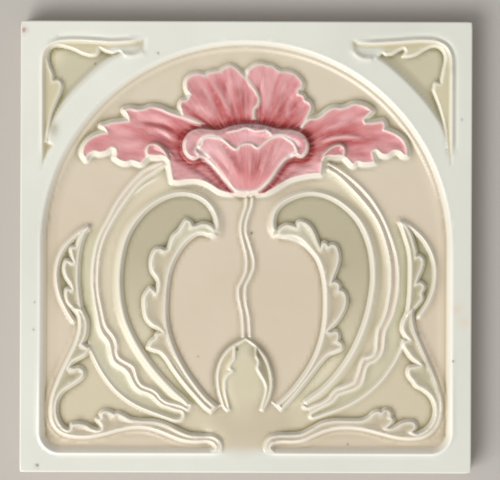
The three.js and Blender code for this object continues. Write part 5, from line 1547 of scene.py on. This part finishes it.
strokes = node("ShaderNodeTexNoise", (-1200, 1000))
join(fan.outputs[0], strokes.inputs["Vector"])
strokes.inputs["Scale"].default_value = 1.0
strokes.inputs["Detail"].default_value = 3.0
strokes.inputs["Roughness"].default_value = 0.65
stroke = strokes.outputs["Fac"]
pale_stroke = work("MULTIPLY", (-800, 1100), remap(stroke, (-1000, 1100), 0.5, 0.72, 0.0, 0.3), petal_out)
deep_stroke = work("MULTIPLY", (-800, 900), remap(stroke, (-1000, 900), 0.5, 0.3, 0.0, 0.22), petal_out)
print("streak nodes:", len(tree.nodes))

# %% Colour
POOL_TONE = (0.42, 0.40, 0.27, 1)
MOTTLE_TONE = (0.965, 0.96, 0.95, 1)
CREST_TONE = (*linear(241, 235, 221), 1)
CLAY_DARK, CLAY_LIGHT = (0.62, 0.52, 0.40, 1), (0.70, 0.61, 0.49, 1)
mottle = remap(noise(38, (-1400, 300)), (-1200, 300), 0.35, 0.65, 0.0, 1.0)
tint_out = attribute("glaze_tint", (-1400, 600))
darker = mix("RGBA", (-1200, 700), deep_stroke, tint_out, (*linear(*DEEP_ROSE), 1))
streaked = mix("RGBA", (-1100, 700), pale_stroke, darker, (*linear(*LIGHT_ROSE), 1))
pooled = mix("RGBA", (-1000, 600), attribute("pool", (-1400, 100)), streaked, POOL_TONE)
pooled.node.blend_type = "MULTIPLY"
varied = mix("RGBA", (-800, 600), mottle, pooled, MOTTLE_TONE)
varied.node.blend_type = "MULTIPLY"
pale = mix("RGBA", (-600, 600), attribute("crest", (-1400, -100)), varied, CREST_TONE)
clay = mix("RGBA", (-600, 300), noise(420, (-1000, 100)), CLAY_DARK, CLAY_LIGHT)
glazed_out = attribute("glazed", (-1400, -700))
join(mix("RGBA", (-400, 500), glazed_out, clay, pale), shader.inputs["Base Color"])
print("colour nodes:", len(tree.nodes))

# %% Gloss and ripples
CLAY_ROUGH, GLAZE_ROUGH = 0.85, 0.26
join(mix("FLOAT", (-400, 100), glazed_out, CLAY_ROUGH, GLAZE_ROUGH), shader.inputs["Roughness"])
shader.inputs["IOR"].default_value = 1.5
ripples = node("ShaderNodeBump", (-400, -200))
ripples.inputs["Strength"].default_value = 0.12
ripples.inputs["Distance"].default_value = 0.0006
join(noise(140, (-700, -200), 2.0), ripples.inputs["Height"])
join(ripples.outputs["Normal"], shader.inputs["Normal"])
mesh.materials.append(material)
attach(tile, "root")
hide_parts("relief_tile")
print("material on:", tile.name)

# %% [markdown]
# ## Floor, light and camera
# The tile lies face up on a plain pale floor. A large soft light stands to the lower left,
# 42 degrees above the floor, so the relief is lit on its lower and left slopes, and a soft
# white room fills the shadows. A sun lamp could light it too, but its hard edge would make
# needle-sharp highlights. The camera looks straight down.

# %% The floor
FLOOR_HALF = 0.6
floor_mesh = bpy.data.meshes.new("studio_floor")
floor_corners = [(x * FLOOR_HALF, y * FLOOR_HALF, 0.0) for x, y in ((-1, -1), (1, -1), (1, 1), (-1, 1))]
floor_mesh.from_pydata(floor_corners, [], [(0, 1, 2, 3)])
floor = bpy.data.objects.new("studio_floor", floor_mesh)
bpy.context.scene.collection.objects.link(floor)
paper = bpy.data.materials.new("pale_floor")
paper.use_nodes = True
paper_shader = paper.node_tree.nodes["Principled BSDF"]
paper_shader.inputs["Base Color"].default_value = (0.50, 0.47, 0.43, 1)
paper_shader.inputs["Roughness"].default_value = 0.9
floor_mesh.materials.append(paper)
print("floor side, m:", 2 * FLOOR_HALF)

# %% Light
def area_light(name, place, aim, width, height, power):
    """A soft rectangular light at a place, turned to face its aim."""
    data = bpy.data.lights.new(name, "AREA")
    data.shape = "RECTANGLE"
    data.size = width
    data.size_y = height
    data.energy = power
    lamp = bpy.data.objects.new(name, data)
    lamp.location = place
    lamp.rotation_euler = (Vector(aim) - Vector(place)).to_track_quat("-Z", "Y").to_euler()
    bpy.context.scene.collection.objects.link(lamp)
    return lamp


WINDOW_AT = (-1.05, -1.05, 1.34)
WINDOW_POWER = 41.0
ROOM_STRENGTH = 0.42
area_light("window_light", WINDOW_AT, (0, 0, 0), 1.5, 1.3, WINDOW_POWER)
world = bpy.data.worlds.new("soft_room")
world.use_nodes = True
world.node_tree.nodes["Background"].inputs["Color"].default_value = (1, 1, 1, 1)
world.node_tree.nodes["Background"].inputs["Strength"].default_value = ROOM_STRENGTH
bpy.context.scene.world = world
bpy.context.scene.view_settings.view_transform = "Standard"

# %% Camera
LENS = 120.0
SENSOR = 36.0
PHOTO_WIDTH = 168.0
CAMERA_X = 1.34
CAMERA_Y = 2.35
CAMERA_TURN = 0.2
camera_data = bpy.data.cameras.new("camera")
camera_data.lens = LENS
camera_data.sensor_width = SENSOR
camera = bpy.data.objects.new("camera", camera_data)
camera_height = PHOTO_WIDTH * LENS / SENSOR
camera.location = (CAMERA_X * MM, CAMERA_Y * MM, (camera_height + FRAME_TOP) * MM)
camera.rotation_euler = (0, 0, math.radians(CAMERA_TURN))
bpy.context.scene.collection.objects.link(camera)
bpy.context.scene.camera = camera
print("camera height over the face, mm:", round(camera_height, 1))
